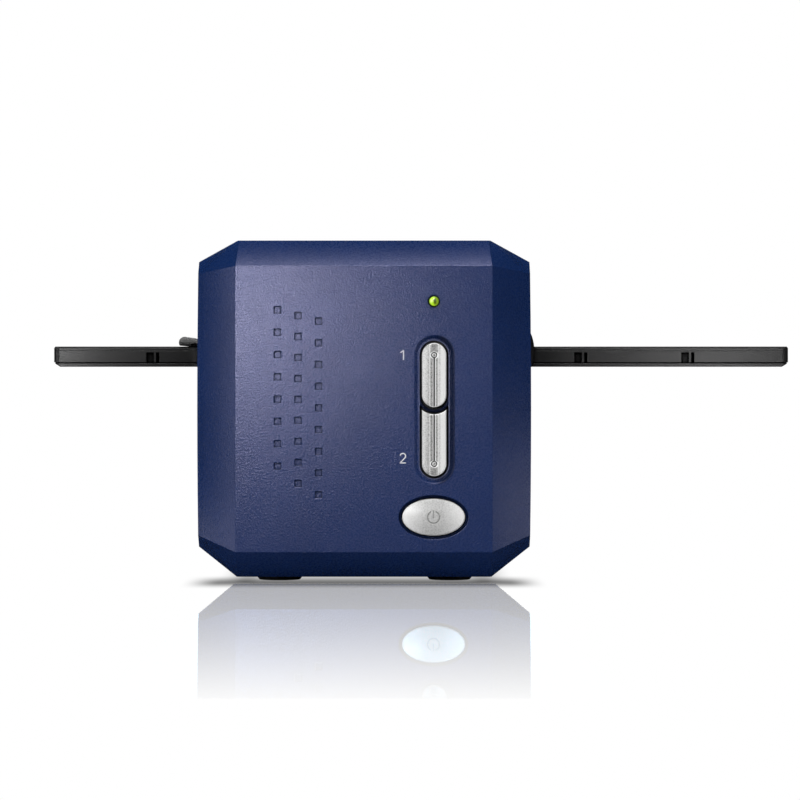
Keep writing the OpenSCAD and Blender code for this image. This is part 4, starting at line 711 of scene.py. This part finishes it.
def round_bar(x, z, radius, y0, y1, count=48):
    """Closed round bar along Y: two rings and two end centres."""
    turn = np.linspace(0, 2 * pi, count, endpoint=False)
    ring = np.stack([x + radius * np.cos(turn), np.zeros(count), z + radius * np.sin(turn)], -1)
    ends = [ring + (0, y, 0) for y in (y0, y1)]
    points = np.concatenate([*ends, [[x, y0, z], [x, y1, z]]])
    first, last = np.arange(count), np.arange(count, 2 * count)
    caps = [fan_faces(first, 2 * count), fan_faces(last, 2 * count + 1)]
    return points, [grid_faces(2, count, closed=True), *caps]


def gather(parts):
    """Joins (points, [faces, ...]) parts into one point array and one list of face arrays."""
    points, faces, count = [], [], 0
    for part_points, part_faces in parts:
        points.append(part_points)
        faces += [f + count for f in part_faces]
        count += len(part_points)
    return np.concatenate(points), faces


class ScanKey:
    """Sizes of one scan button, read off its CAD node: middle, half width, front and the centres of its round
    ends. A hollow one ends at the top in the saddle, a circle about the other button's lower centre."""

    def __init__(self, node, hollow=False):
        low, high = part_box(node)
        self.x = (low.x + high.x) / 2
        self.half = (high.x - low.x) / 2 - KEY_FLANGE
        self.front = low.y
        self.low = low.z + KEY_FLANGE + self.half
        self.high = high.z - KEY_FLANGE - self.half
        self.hollow = hollow

    def bottom(self, x):
        """Lower end: a half circle about the lower centre."""
        return self.low - np.sqrt(np.maximum(self.half**2 - (x - self.x) ** 2, 0))


def scan_key_outline(key, saddle_centre, saddle_radius):
    """Grid of X and Z over the button. Columns crowd towards the sides as a sine and stand evenly close in
    the lane of the groove. Rows crowd towards the ends as a cosine."""
    wide = key.half * np.sin(np.linspace(-pi / 2, pi / 2, 85))
    lane = 1.6 * MM
    wide = wide[np.abs(wide) > lane + 0.02 * MM]
    across = key.x + np.sort(np.concatenate([wide, np.linspace(-lane, lane, 47)]))[:, None]
    along = (1 - np.cos(np.linspace(0, pi, 301)))[None, :] / 2
    low = key.bottom(across)
    if key.hollow:
        high = saddle_centre - np.sqrt(saddle_radius**2 - (across - key.x) ** 2)
    else:
        high = key.high + np.sqrt(np.maximum(key.half**2 - (across - key.x) ** 2, 0))
    z = low + (high - low) * along
    return np.broadcast_to(across, z.shape), z


def scan_key_inside(key, x, z, saddle_centre, saddle_radius):
    """Distance inside the outline: half less the way from the spine, or the way from the saddle's circle."""
    top = saddle_centre if key.hollow else key.high
    spine = np.clip(z, key.low, top)
    inside = key.half - np.hypot(x - key.x, z - spine)
    if key.hollow:
        inside = np.minimum(inside, np.hypot(x - key.x, z - saddle_centre) - saddle_radius)
    return inside


def groove_drop(key, x, z, hollow_top):
    """Depth of the groove below the crown. Slopes fall from the groove's sides, and from a circle at its end,
    to a slot, which runs on as a ring round a small dome. At its other end the groove runs out."""
    own = settings().buttons
    ring, dome, circle, circle_slope = 0.87 * MM, 0.75 * MM, 1.55 * MM, 0.6 * MM
    way = 1 if key.hollow else -1
    end = key.low if key.hollow else key.high
    stop = hollow_top - 0.2 * MM if key.hollow else key.low - key.half + 0.3 * MM
    off = np.abs(x - key.x)
    radius = np.hypot(x - key.x, z - end)
    beyond = smooth_step((z - end) * way, ring - 0.05 * MM, ring + 0.05 * MM)
    lane = beyond * (1 - smooth_step((z - stop) * way, -0.1 * MM, 0.1 * MM))
    half, slot = own.groove / 2, own.slot / 2
    slopes = np.clip((half - off) / (half - slot), 0, 1) * lane
    slit = (1 - smooth_step(off, slot - 0.04 * MM, slot + 0.04 * MM)) * lane
    outside, inside = np.clip((circle - radius) / circle_slope, 0, 1), np.clip(radius / dome, 0, 1) ** 2
    round_slopes = np.where(radius > ring, outside, inside)
    round_slit = 1 - smooth_step(np.abs(radius - ring), 0.1 * MM, 0.18 * MM)
    return np.maximum(slopes, round_slopes) * own.groove_depth + np.maximum(slit, round_slit) * own.slot_depth


def build_scan_key(side, hollow, saddle_centre, saddle_radius):
    """A crowned button with a rolled edge, a groove down its middle and a ring at the groove's end, on its
    flange and stem."""
    own = settings().buttons
    node = f"scan_button_{side}"
    key = ScanKey(node, hollow)
    x, z = scan_key_outline(key, saddle_centre, saddle_radius)
    inside = scan_key_inside(key, x, z, saddle_centre, saddle_radius)
    sunk = groove_drop(key, x, z, saddle_centre - saddle_radius)
    crown = own.crown * ((x - key.x) / key.half) ** 2
    y = key.front + crown + edge_drop(inside, own.roll) + sunk
    rows, columns = x.shape
    number = np.arange(rows * columns).reshape(rows, columns)
    loop = np.concatenate([number[:, 0], number[-1, 1:], number[-2::-1, -1], number[0, -2:0:-1]])
    face = np.stack([x, y, z], -1).reshape(-1, 3)
    rim = face[loop]
    grow = np.zeros_like(rim)
    grow[:, [0, 2]] = outline_normals(rim) * KEY_FLANGE
    inner, outer = rim * (1, 0, 1), (rim + grow) * (1, 0, 1)
    rings = [rim, inner + (0, FLANGE_FRONT, 0), outer + (0, FLANGE_FRONT, 0), outer + (0, FLANGE_BACK, 0)]
    wall, wall_faces = ring_walls(rings)
    count = len(loop)
    wall = np.concatenate([wall, [wall[-count:].mean(0)]])
    back = fan_faces(np.arange(3 * count, 4 * count), 4 * count)
    stem_low, stem_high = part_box(f"{side}_switch_plunger")
    middle = (stem_low + stem_high) / 2
    stem = round_bar(middle.x, middle.z, STEM_RADIUS, STEM_START, stem_low.y)
    points, faces = gather([(face, [grid_faces(rows, columns)]), (wall, [wall_faces, back]), stem])
    return put_piece(f"{side}_scan_key", points, faces, "button_silver", f"{side}_button", KEY_SHARP, [node])


def power_mark(x, z):
    """Open ring with an upright stroke through its gap, 1 on the mark and 0 beside it."""
    radius = np.hypot(x, z)
    gap = smooth_step(np.abs(x), MARK_GAP, MARK_GAP + 0.1 * MM) + smooth_step(-z, 0, 0.2 * MM)
    ring = (1 - smooth_step(np.abs(radius - MARK_RADIUS), 0.17 * MM, 0.3 * MM)) * np.clip(gap, 0, 1)
    reach = np.maximum(np.abs(z - MARK_MIDDLE) - MARK_REACH, 0)
    stroke = 1 - smooth_step(np.hypot(x, reach), 0.16 * MM, 0.28 * MM)
    return np.maximum(ring, stroke)


def thread_radius(turn, y, pitch, core, crest):
    """Radius of a trapezoid thread: a triangle wave of the turn and of Y, with its tips cut flat."""
    wave = np.abs(((y / pitch - turn / (2 * pi)) % 1) - 0.5) * 2
    return core + (crest - core) * np.clip((wave - 0.25) / 0.3, 0, 1)


def stroke_ribbon(path, width, thick):
    """A flat ribbon: a rectangle of width by thick, carried along a path in X and Z, with closed ends."""
    step = np.gradient(path, axis=0)
    side = np.stack([-step[:, 1], step[:, 0]], -1)
    side /= np.maximum(np.linalg.norm(side, axis=1, keepdims=True), 1e-12)
    rings = []
    for way, y in ((-1, 0), (1, 0), (1, -thick), (-1, -thick)):
        edge = path + way * side * width / 2
        rings.append(np.stack([edge[:, 0], np.full(len(path), y), edge[:, 1]], -1))
    points = np.stack(rings, 1).reshape(-1, 3)
    ends = np.stack([np.arange(4)[::-1], np.arange(len(points) - 4, len(points))])
    return points, [grid_faces(len(path), 4, closed=True), ends]


def arc(centre, radius, start, end, count=24):
    """Points of a circle's arc, from one angle to another, in degrees."""
    turn = np.radians(np.linspace(start, end, count))
    return np.stack([centre[0] + radius * np.cos(turn), centre[1] + radius * np.sin(turn)], -1)


def numeral(figure, height):
    """Centre lines of a plain numeral 1 or 2, of the given height, standing on Z 0 and centred on X 0."""
    if figure == 1:
        lines = [[[-0.26, 0.76], [-0.12, 0.83], [0.0, 0.93], [0.06, 1.0]], [[0.06, 1.0], [0.06, 0.0]]]
    else:
        top = arc((0, 0.72), 0.27, 170, -35)
        slope = [[0.1, 0.42], [-0.12, 0.2], [-0.29, 0.02]]
        lines = [np.concatenate([top, slope]), [[-0.31, 0.02], [0.3, 0.02]]]
    return [np.array(line) * height for line in lines]


# ---------- operators ----------


class SCANNER_OT_housing(Operator):
    """Gives the housing and its feet their moulded finish"""

    bl_idname = "scanner.housing"
    bl_label = "Housing"

    def execute(self, context):
        dress("front_panel", "rear_panel", "upper_housing", "lower_housing", "rubber_feet", "housing_screws")
        return {"FINISHED"}


class SCANNER_OT_slots(Operator):
    """Gives the side slots their black bezels, dust flaps and steel pins"""

    bl_idname = "scanner.slots"
    bl_label = "Side slots"

    def execute(self, context):
        dress("entry_bezel", "exit_bezel", "entry_flap", "exit_flap", "entry_flap_pin", "exit_flap_pin")
        return {"FINISHED"}


class SCANNER_OT_holder(Operator):
    """Gives the strip holder its charcoal finish"""

    bl_idname = "scanner.holder"
    bl_label = "Strip holder"

    def execute(self, context):
        dress("film_holder_base", "film_holder_lid", "film_holder_hinge_pins")
        return {"FINISHED"}


class SCANNER_OT_scan_buttons(Operator):
    """Makes the two crowned scan buttons, with their grooves and rings"""

    bl_idname = "scanner.scan_buttons"
    bl_label = "Scan buttons"

    def execute(self, context):
        upper = ScanKey("scan_button_upper")
        bridge = 2.4 * MM
        for side, hollow in (("upper", False), ("lower", True)):
            build_scan_key(side, hollow, upper.low, upper.half + bridge)
        return {"FINISHED"}


class SCANNER_OT_power_button(Operator):
    """Makes the domed power button, with its sunk on and off mark"""

    bl_idname = "scanner.power_button"
    bl_label = "Power button"

    def execute(self, context):
        """The face is a grid of shrunken ellipses. Its fall grows as the square of the way out."""
        own = settings().buttons
        low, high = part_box("power_button")
        middle, half = (low + high) / 2, (high - low) / 2
        half_x, half_z = half.x - POWER_FLANGE, half.z - POWER_FLANGE
        count = 288
        turn = np.linspace(0, 2 * pi, count, endpoint=False)
        mark_out = 0.36
        edge_out = 1 - (1 - mark_out) * np.linspace(1, 0, 46)[1:] ** 1.5
        out = np.concatenate([np.linspace(0, mark_out, 64), edge_out])[:, None]
        x, z = out * half_x * np.cos(turn), out * half_z * np.sin(turn)
        inside = (1 - out) * half_z * half_x / np.hypot(half_z * np.cos(turn), half_x * np.sin(turn))
        y = low.y + own.power_crown * out**2 + edge_drop(inside, own.roll) + power_mark(x, z) * own.mark_depth
        face = np.stack([x + middle.x, y, z + middle.z], -1)
        inner = face[-1] * (1, 0, 1)
        flange_x, flange_z = middle.x + half.x * np.cos(turn), middle.z + half.z * np.sin(turn)
        outer = np.stack([flange_x, np.zeros(count), flange_z], -1)
        flange = [inner + (0, FLANGE_FRONT, 0), outer + (0, FLANGE_FRONT, 0), outer + (0, FLANGE_BACK, 0)]
        points, faces = ring_walls([*face, *flange])
        centre = len(points)
        points = np.concatenate([points, [[middle.x, FLANGE_BACK, middle.z]]])
        back = fan_faces(np.arange(centre - count, centre), centre)
        plunger_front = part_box("power_switch_plunger")[0].y
        stem = round_bar(middle.x, middle.z, STEM_RADIUS, STEM_START, plunger_front)
        points, faces = gather([(points, [faces, back]), stem])
        replaced = ["power_button"]
        put_piece("power_key_cap", points, faces, "button_silver", "power_key", KEY_SHARP, replaced)
        return {"FINISHED"}


class SCANNER_OT_button_works(Operator):
    """Finishes the switches, plungers, carrier, board and light behind the buttons"""

    bl_idname = "scanner.button_works"
    bl_label = "Behind the buttons"

    def execute(self, context):
        dress("upper_switch_plunger", "lower_switch_plunger", "power_switch_plunger", "button_carrier")
        dress("button_board", "tact_switches", "button_board_screws", "light_pipe", "power_light")
        return {"FINISHED"}


class SCANNER_OT_numerals(Operator):
    """Prints a plain 1 and 2 beside the scan buttons"""

    bl_idname = "scanner.numerals"
    bl_label = "Numerals"

    def execute(self, context):
        own = settings().marks
        ink = Finish("numeral_ink", 0.5)
        speckle = ink.noise(0.25 * MM, 2.0)
        ink.paint(ink.mixed(speckle, shade(own.ink, 0.9), shade(own.ink, 1.06)))
        ink.vary_roughness(speckle, 0.45, 0.6)
        front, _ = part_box("front_panel")
        upper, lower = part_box("scan_button_upper"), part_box("scan_button_lower")
        aside, below_top, above_bottom, film = 5.6 * MM, 6.9 * MM, 5.5 * MM, 0.03 * MM
        x = upper[0].x - aside
        feet = (upper[1].z - below_top, lower[0].z + above_bottom)
        for figure, name, z in zip((1, 2), ("numeral_one", "numeral_two"), feet):
            lines = numeral(figure, own.height)
            points, faces = gather([stroke_ribbon(line, own.stroke, film) for line in lines])
            put_piece(name, points + (x, front.y, z), faces, ink.material, "scanner")
        return {"FINISHED"}


class SCANNER_OT_film_stage(Operator):
    """Finishes the inner frame, the film gate and the lamp over it"""

    bl_idname = "scanner.film_stage"
    bl_label = "Film stage and lamp"

    def execute(self, context):
        dress("chassis", "chassis_screws", "film_gate", "film_gate_screws", "click_spring", "lamp_housing")
        dress("lamp_reflector", "lamp_tube", "lamp_end_caps", "lamp_diffuser")
        return {"FINISHED"}


class SCANNER_OT_scan_unit(Operator):
    """Finishes the travelling scanning unit with its mirror, lens and sensor"""

    bl_idname = "scanner.scan_unit"
    bl_label = "Scanning unit"

    def execute(self, context):
        dress("scan_carriage", "carriage_cover", "carriage_bushes", "fold_mirror", "lens_barrel")
        dress("lens_glass", "lens_clamp", "sensor_board", "sensor_chip", "drive_nut", "guide_rod")
        return {"FINISHED"}


class SCANNER_OT_lead_screw(Operator):
    """Cuts the thread on the lead screw, between its two journals"""

    bl_idname = "scanner.lead_screw"
    bl_label = "Lead screw"

    def execute(self, context):
        """Rings along Y. Their radius is the thread's between the journals, and the journals' own beyond."""
        low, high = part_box("lead_screw")
        crest = (high.x - low.x) / 2
        middle_x, middle_z = (low.x + high.x) / 2, (low.z + high.z) / 2
        journal, root, chamfer, run_out = crest - 0.5 * MM, crest - 0.42 * MM, 0.3 * MM, 0.6 * MM
        front_journal, back_journal, pitch = 4 * MM, 5.3 * MM, 2 * MM
        start, end = low.y + front_journal, high.y - back_journal
        columns = 48
        turn = np.linspace(0, 2 * pi, columns, endpoint=False)[None, :]
        y = np.linspace(start, end, 455)[:, None]
        ramp = smooth_step(y, start, start + run_out) * (1 - smooth_step(y, end - run_out, end))
        radius = journal + (thread_radius(turn, y, pitch, root, crest) - journal) * ramp
        front_y = [low.y, low.y, low.y + chamfer, start]
        front_radius = [0, journal - chamfer, journal, journal]
        back_y = [end, high.y - chamfer, high.y, high.y]
        rings_y = np.concatenate([front_y, y[:, 0], back_y])[:, None]
        flat = np.ones_like(turn)
        ends = [np.array(radii)[:, None] * flat for radii in (front_radius, front_radius[::-1])]
        rings = np.concatenate([ends[0], radius, ends[1]])
        x, z = middle_x + rings * np.cos(turn), middle_z + rings * np.sin(turn)
        points = np.stack([x, rings_y * flat, z], -1).reshape(-1, 3)
        faces = [grid_faces(len(rings_y), columns, closed=True)]
        put_piece("lead_screw_thread", points, faces, "steel", "drive_screw", THREAD_SHARP, ["lead_screw"])
        return {"FINISHED"}


class SCANNER_OT_back_end(Operator):
    """Finishes the motor, boards, sockets and sensor at the back"""

    bl_idname = "scanner.back_end"
    bl_label = "Motor, boards and sockets"

    def execute(self, context):
        dress("stepper_motor", "motor_screws", "main_board", "main_board_screws", "usb_socket", "power_inlet")
        dress("lamp_inverter", "home_sensor")
        return {"FINISHED"}


# ---------- stage ----------

# Each lamp has its name, its place and target from the housing's middle, its width and height, its power in
# watts and the angle in degrees over which it spreads. A glint only shows in sheens.
LAMPS = (
    ("key_light", (-0.55, -0.95, 0.75), (0, -0.1, 0.06), (0.45, 0.45), 4.5, 180),
    ("top_light", (0.05, -0.45, 0.85), (0, -0.1, 0.1), (0.6, 0.6), 2.5, 180),
)
GLINTS = (
    ("face_glint", (-0.071, -0.386, 0.103), (-0.057, -0.136, 0.098), (0.08, 0.04), 0.34, 180),
    ("bevel_glint", (-0.47, -0.28, 0.09), (-0.055, -0.13, 0.07), (0.14, 0.16), 0.25, 180),
    ("top_glint", (0.0, -0.4, 0.6), (0, -0.13, 0.115), (0.3, 0.12), 2.2, 180),
    ("left_floor_glint", (-0.15, -0.13, 0.006), (-0.05, -0.13, 0.012), (0.1, 0.012), 0.008, 180),
    ("right_floor_glint", (0.25, -0.13, 0.015), (0.05, -0.13, 0.02), (0.16, 0.03), 0.028, 180),
    ("right_end_glint", (0.14, -0.3, 0.079), (0.117, -0.035, 0.079), (0.04, 0.05), 0.0044, 32),
    ("left_end_glint", (-0.141, -0.3, 0.079), (-0.12, -0.035, 0.079), (0.03, 0.05), 0.004, 22),
)

# Each black card has its name and two opposite corners, whose X is from the housing's middle.
FLAGS = (
    ("flag_left", (-0.5, -0.45, 0.01), (-0.5, 1.0, 1.3)),
    ("flag_right", (0.5, -0.45, 0.01), (0.5, 1.0, 1.3)),
    ("flag_behind_camera", (-0.33, -1.5, 0.01), (0.33, -1.5, 0.5)),
    ("flag_above", (-0.5, -0.7, 1.3), (0.5, 1.0, 1.3)),
)
HOLDER_FLAG = ((-0.1125, -0.12, 0.072), (-0.0595, -0.12, 0.0857))  # corners from the housing's middle

# The clear sheet keeps this far before the front face. Its corners lie this far beside the housing's middle:
# near left, near right, far right and far left.
SHEET_GAP = 18 * MM
SHEET_SIDES = (-0.055, 0.064, 0.045, -0.044)


def housing_middle():
    """Middle of the housing's footprint on the table."""
    front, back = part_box("front_panel"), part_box("rear_panel")
    return Vector(((front[0].x + front[1].x) / 2, (front[0].y + back[1].y) / 2, 0))


def rectangle(low, high):
    """Corners in order of the rectangle between two opposite corners that share one coordinate."""
    first, second = [axis for axis in range(3) if low[axis] != high[axis]]
    corners = [list(low), list(low), list(high), list(low)]
    corners[1][first] = high[first]
    corners[3][second] = high[second]
    return corners


def card(name, corners, material):
    """A flat four-cornered sheet of the stage, from its corners in order."""
    mesh = bpy.data.meshes.new(name)
    mesh.from_pydata(corners, [], [(0, 1, 2, 3)])
    mesh.materials.append(material)
    sheet = bpy.data.objects.new(name, mesh)
    bpy.context.scene.collection.objects.link(sheet)
    return sheet


def distance_outside(finish, half_x, half_y):
    """Distance on the table from a footprint of a half width and depth about the housing's middle."""
    middle = housing_middle()
    axes = finish.axes()

    def beyond(axis, centre, half):
        return finish.math("MAXIMUM", finish.minus(finish.apart(axes[axis], centre), half), 0.0)

    return finish.diagonal(beyond("X", middle.x, half_x), beyond("Y", middle.y, half_y))


def contact_shade(finish):
    """Painted contact shadow: the share of the light that is missing at the housing's front edge, shade times
    two bells, which fall as a smooth step from 1 to 0. One runs along Y with its top behind the front face,
    the other along X."""
    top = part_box("front_panel")[0].y + 8 * MM
    before, behind, core, end = 36 * MM, 47 * MM, 50 * MM, 64 * MM
    axes = finish.axes()
    rise = finish.spread(axes["Y"], top - before, top, curve="SMOOTHSTEP")
    fall = finish.fade(axes["Y"], top, top + behind, curve="SMOOTHSTEP")
    aside = finish.apart(axes["X"], housing_middle().x)
    return finish.times(rise, fall, finish.fade(aside, core, end, settings().stage.shade, "SMOOTHSTEP"))


def table_finish():
    """White table. Close to the housing the camera sees it lit, with a painted lift of light that is larger
    below the housing, and further out as plain white, both less the painted contact shadow. Reflections see
    it dark."""
    half_width, half_depth, plain_from, below_to = 36 * MM, 122 * MM, 18 * MM, 8 * MM
    tone, seen_tone, mirrored_tone, lift_below = 0.6, 0.98, 0.03, 0.5
    finish = Finish("white_table")
    finish.tree.nodes.remove(finish.surface)
    away = distance_outside(finish, half_width, half_depth)
    path = finish.add("ShaderNodeLightPath").outputs
    seen = finish.math("MAXIMUM", path["Is Camera Ray"], path["Is Transmission Ray"])
    tone_seen = finish.plus(tone, finish.times(seen, seen_tone - tone))
    shown = finish.minus(tone_seen, finish.times(path["Is Glossy Ray"], tone - mirrored_tone))
    grey = finish.add("ShaderNodeCombineColor")
    for channel in range(3):
        finish.put(shown, grey.inputs[channel])
    diffuse = finish.add("ShaderNodeBsdfDiffuse")
    finish.put(grey.outputs[0], diffuse.inputs["Color"])
    # Painted light: a lift that is larger below the housing.
    below = finish.fade(away, 0, below_to, lift_below, "SMOOTHSTEP")
    lift = finish.emission(finish.times(seen, finish.plus(below, settings().stage.lift)))
    lit = finish.add("ShaderNodeAddShader")
    finish.put(diffuse.outputs[0], lit.inputs[0])
    finish.put(lift.outputs[0], lit.inputs[1])
    plain = finish.times(finish.spread(away, 0, plain_from, curve="SMOOTHSTEP"), seen)
    surface = finish.blend(plain, lit, finish.emission(1.0))
    # The painted contact shadow darkens what the camera sees of the table.
    return finish.show(finish.blend(finish.times(contact_shade(finish), seen), surface, finish.emission(0.0)))


def sheet_finish():
    """Clear sheet with a mirror image, whose share is mirror times 1 less the square of the distance from the
    front face over a length. As on glass it only shows at a grazing angle: in full below 5 degrees, and not
    above 10."""
    fall_length, glass_index = 0.46, 1.45
    at_10_degrees, at_5_degrees = 0.38, 0.585
    finish = Finish("clear_sheet")
    finish.tree.nodes.remove(finish.surface)
    before = finish.minus(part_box("front_panel")[0].y, finish.axes()["Y"])
    away = finish.math("DIVIDE", before, fall_length)
    fresnel = finish.add("ShaderNodeFresnel")
    fresnel.inputs["IOR"].default_value = glass_index
    grazing = finish.spread(fresnel.outputs[0], at_10_degrees, at_5_degrees)
    gloss = finish.add("ShaderNodeBsdfGlossy")
    gloss.inputs["Roughness"].default_value = 0.01
    gloss.inputs["Color"].default_value = (1, 1.4, 1.8, 1)
    clear = finish.add("ShaderNodeBsdfTransparent")
    mirrored = finish.times(finish.rest(finish.times(away, away)), grazing, settings().stage.mirror)
    return finish.show(finish.blend(mirrored, clear, gloss))


def studio_world():
    """White for the background's rays, and an even, dimmer light for everything else."""
    world = bpy.data.worlds.new("studio")
    bpy.context.scene.world = world
    world.use_nodes = True
    tree = world.node_tree
    shader = tree.nodes["Background"]
    shader.inputs["Color"].default_value = (1, 1, 1, 1)
    path = tree.nodes.new("ShaderNodeLightPath")
    most = path.outputs["Is Camera Ray"]
    for ray in ("Is Glossy Ray", "Is Transmission Ray"):
        node = tree.nodes.new("ShaderNodeMath")
        node.operation = "MAXIMUM"
        tree.links.new(most, node.inputs[0])
        tree.links.new(path.outputs[ray], node.inputs[1])
        most = node.outputs[0]
    strength = tree.nodes.new("ShaderNodeMapRange")
    strength.inputs["To Min"].default_value = settings().stage.ambient
    strength.inputs["To Max"].default_value = 1.0
    tree.links.new(most, strength.inputs["Value"])
    tree.links.new(strength.outputs["Result"], shader.inputs["Strength"])


def soft_light(glint, name, place, target, size, power, spread):
    """A flat lamp that points at a target and isn't seen by the camera."""
    lamp = bpy.data.lights.new(name, "AREA")
    lamp.shape = "RECTANGLE"
    lamp.size, lamp.size_y = size
    lamp.energy = power
    lamp.spread = radians(spread)
    holder = bpy.data.objects.new(name, lamp)
    holder.location = housing_middle() + Vector(place)
    holder.rotation_euler = (Vector(target) - Vector(place)).to_track_quat("-Z", "Y").to_euler()
    holder.visible_camera = False
    holder.visible_diffuse = not glint
    bpy.context.scene.collection.objects.link(holder)


def dark_flag(name, low, high, fades=False):
    """A black card that only reflections see, so that the housing's bevels stay dark. One that fades keeps
    the lamps' light off what is behind it too: it goes from clear at its left end to black at its right end,
    and the clear share is the square of the way left."""
    finish = Finish("flag_black", 1.0, 0.0, Specular_IOR_Level=0.0)
    finish.paint(BLACK)
    if fades:
        left = finish.fade(finish.axes()["X"], low.x, high.x)
        clear = finish.add("ShaderNodeBsdfTransparent")
        finish.show(finish.blend(finish.times(left, left), finish.surface, clear))
    flag = card(name, rectangle(low, high), finish.material)
    flag.visible_shadow = fades
    flag.visible_camera = flag.visible_diffuse = flag.visible_transmission = False


class SCANNER_OT_stage(Operator):
    """Sets the camera, the soft lamps, the white table and the background"""

    bl_idname = "scanner.stage"
    bl_label = "Stage"

    def execute(self, context):
        own = settings().stage
        scene = context.scene
        scene.view_settings.view_transform = "Standard"
        middle = housing_middle()
        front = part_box("front_panel")[0].y
        camera = bpy.data.objects.new("camera", bpy.data.cameras.new("camera"))
        camera.data.lens = own.lens
        camera.data.sensor_width = 36
        camera.data.clip_start = 0.01
        camera.data.shift_y = -own.drop
        camera.location = (middle.x + own.aside, front - own.distance, own.height)
        camera.rotation_euler = (radians(90), 0, 0)
        scene.collection.objects.link(camera)
        scene.camera = camera
        table_half = 6.0
        card("table", rectangle((-table_half, -table_half, 0), (table_half, table_half, 0)), table_finish())
        studio_world()
        near, far = front - own.reach, front - SHEET_GAP
        corners = zip(SHEET_SIDES, (near, near, far, far))
        sheet = card("clear_sheet", [(middle.x + x, y, own.sheet) for x, y in corners], sheet_finish())
        sheet.visible_diffuse = sheet.visible_glossy = False
        sheet.visible_shadow = sheet.visible_transmission = False
        for glint, lamps in ((False, LAMPS), (True, GLINTS)):
            for lamp in lamps:
                soft_light(glint, *lamp)
        aside = Vector((middle.x, 0, 0))
        for name, low, high in FLAGS:
            dark_flag(name, aside + Vector(low), aside + Vector(high))
        dark_flag("flag_before_holder", *[middle + Vector(corner) for corner in HOLDER_FLAG], fades=True)
        return {"FINISHED"}


# ---------- panel and registration ----------


class SCANNER_PT_panel(Panel):
    """Lists the pieces of the film scanner and their sizes and colours"""

    bl_label = "Film Scanner"
    bl_idname = "SCANNER_PT_panel"
    bl_space_type = "VIEW_3D"
    bl_region_type = "UI"
    bl_category = "Film Scanner"

    def draw(self, context):
        layout = self.layout
        for group in ("housing", "blacks", "buttons", "marks", "stage"):
            box = layout.box()
            box.label(text=group.capitalize())
            values = getattr(context.scene.film_scanner, group)
            for name in values.__annotations__:
                box.prop(values, name)
        for piece in PIECES:
            layout.operator(piece.bl_idname)


PIECES = (
    SCANNER_OT_stage,
    SCANNER_OT_housing,
    SCANNER_OT_slots,
    SCANNER_OT_holder,
    SCANNER_OT_scan_buttons,
    SCANNER_OT_power_button,
    SCANNER_OT_button_works,
    SCANNER_OT_numerals,
    SCANNER_OT_film_stage,
    SCANNER_OT_scan_unit,
    SCANNER_OT_lead_screw,
    SCANNER_OT_back_end,
)
GROUPS = (
    SCANNER_PG_housing,
    SCANNER_PG_blacks,
    SCANNER_PG_buttons,
    SCANNER_PG_marks,
    SCANNER_PG_stage,
    SCANNER_PG_settings,
)
CLASSES = (*GROUPS, *PIECES, SCANNER_PT_panel)


def register():
    for item in CLASSES:
        bpy.utils.register_class(item)
    bpy.types.Scene.film_scanner = PointerProperty(type=SCANNER_PG_settings)


def unregister():
    del bpy.types.Scene.film_scanner
    for item in reversed(CLASSES):
        bpy.utils.unregister_class(item)


def main():
    """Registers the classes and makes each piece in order."""
    register()
    for piece in PIECES:
        group, name = piece.bl_idname.split(".")
        result = getattr(getattr(bpy.ops, group), name)()
        if result != {"FINISHED"}:
            raise RuntimeError(f"{piece.bl_idname} did not finish")
    bpy.context.view_layer.update()


if __name__ == "__main__":
    main()
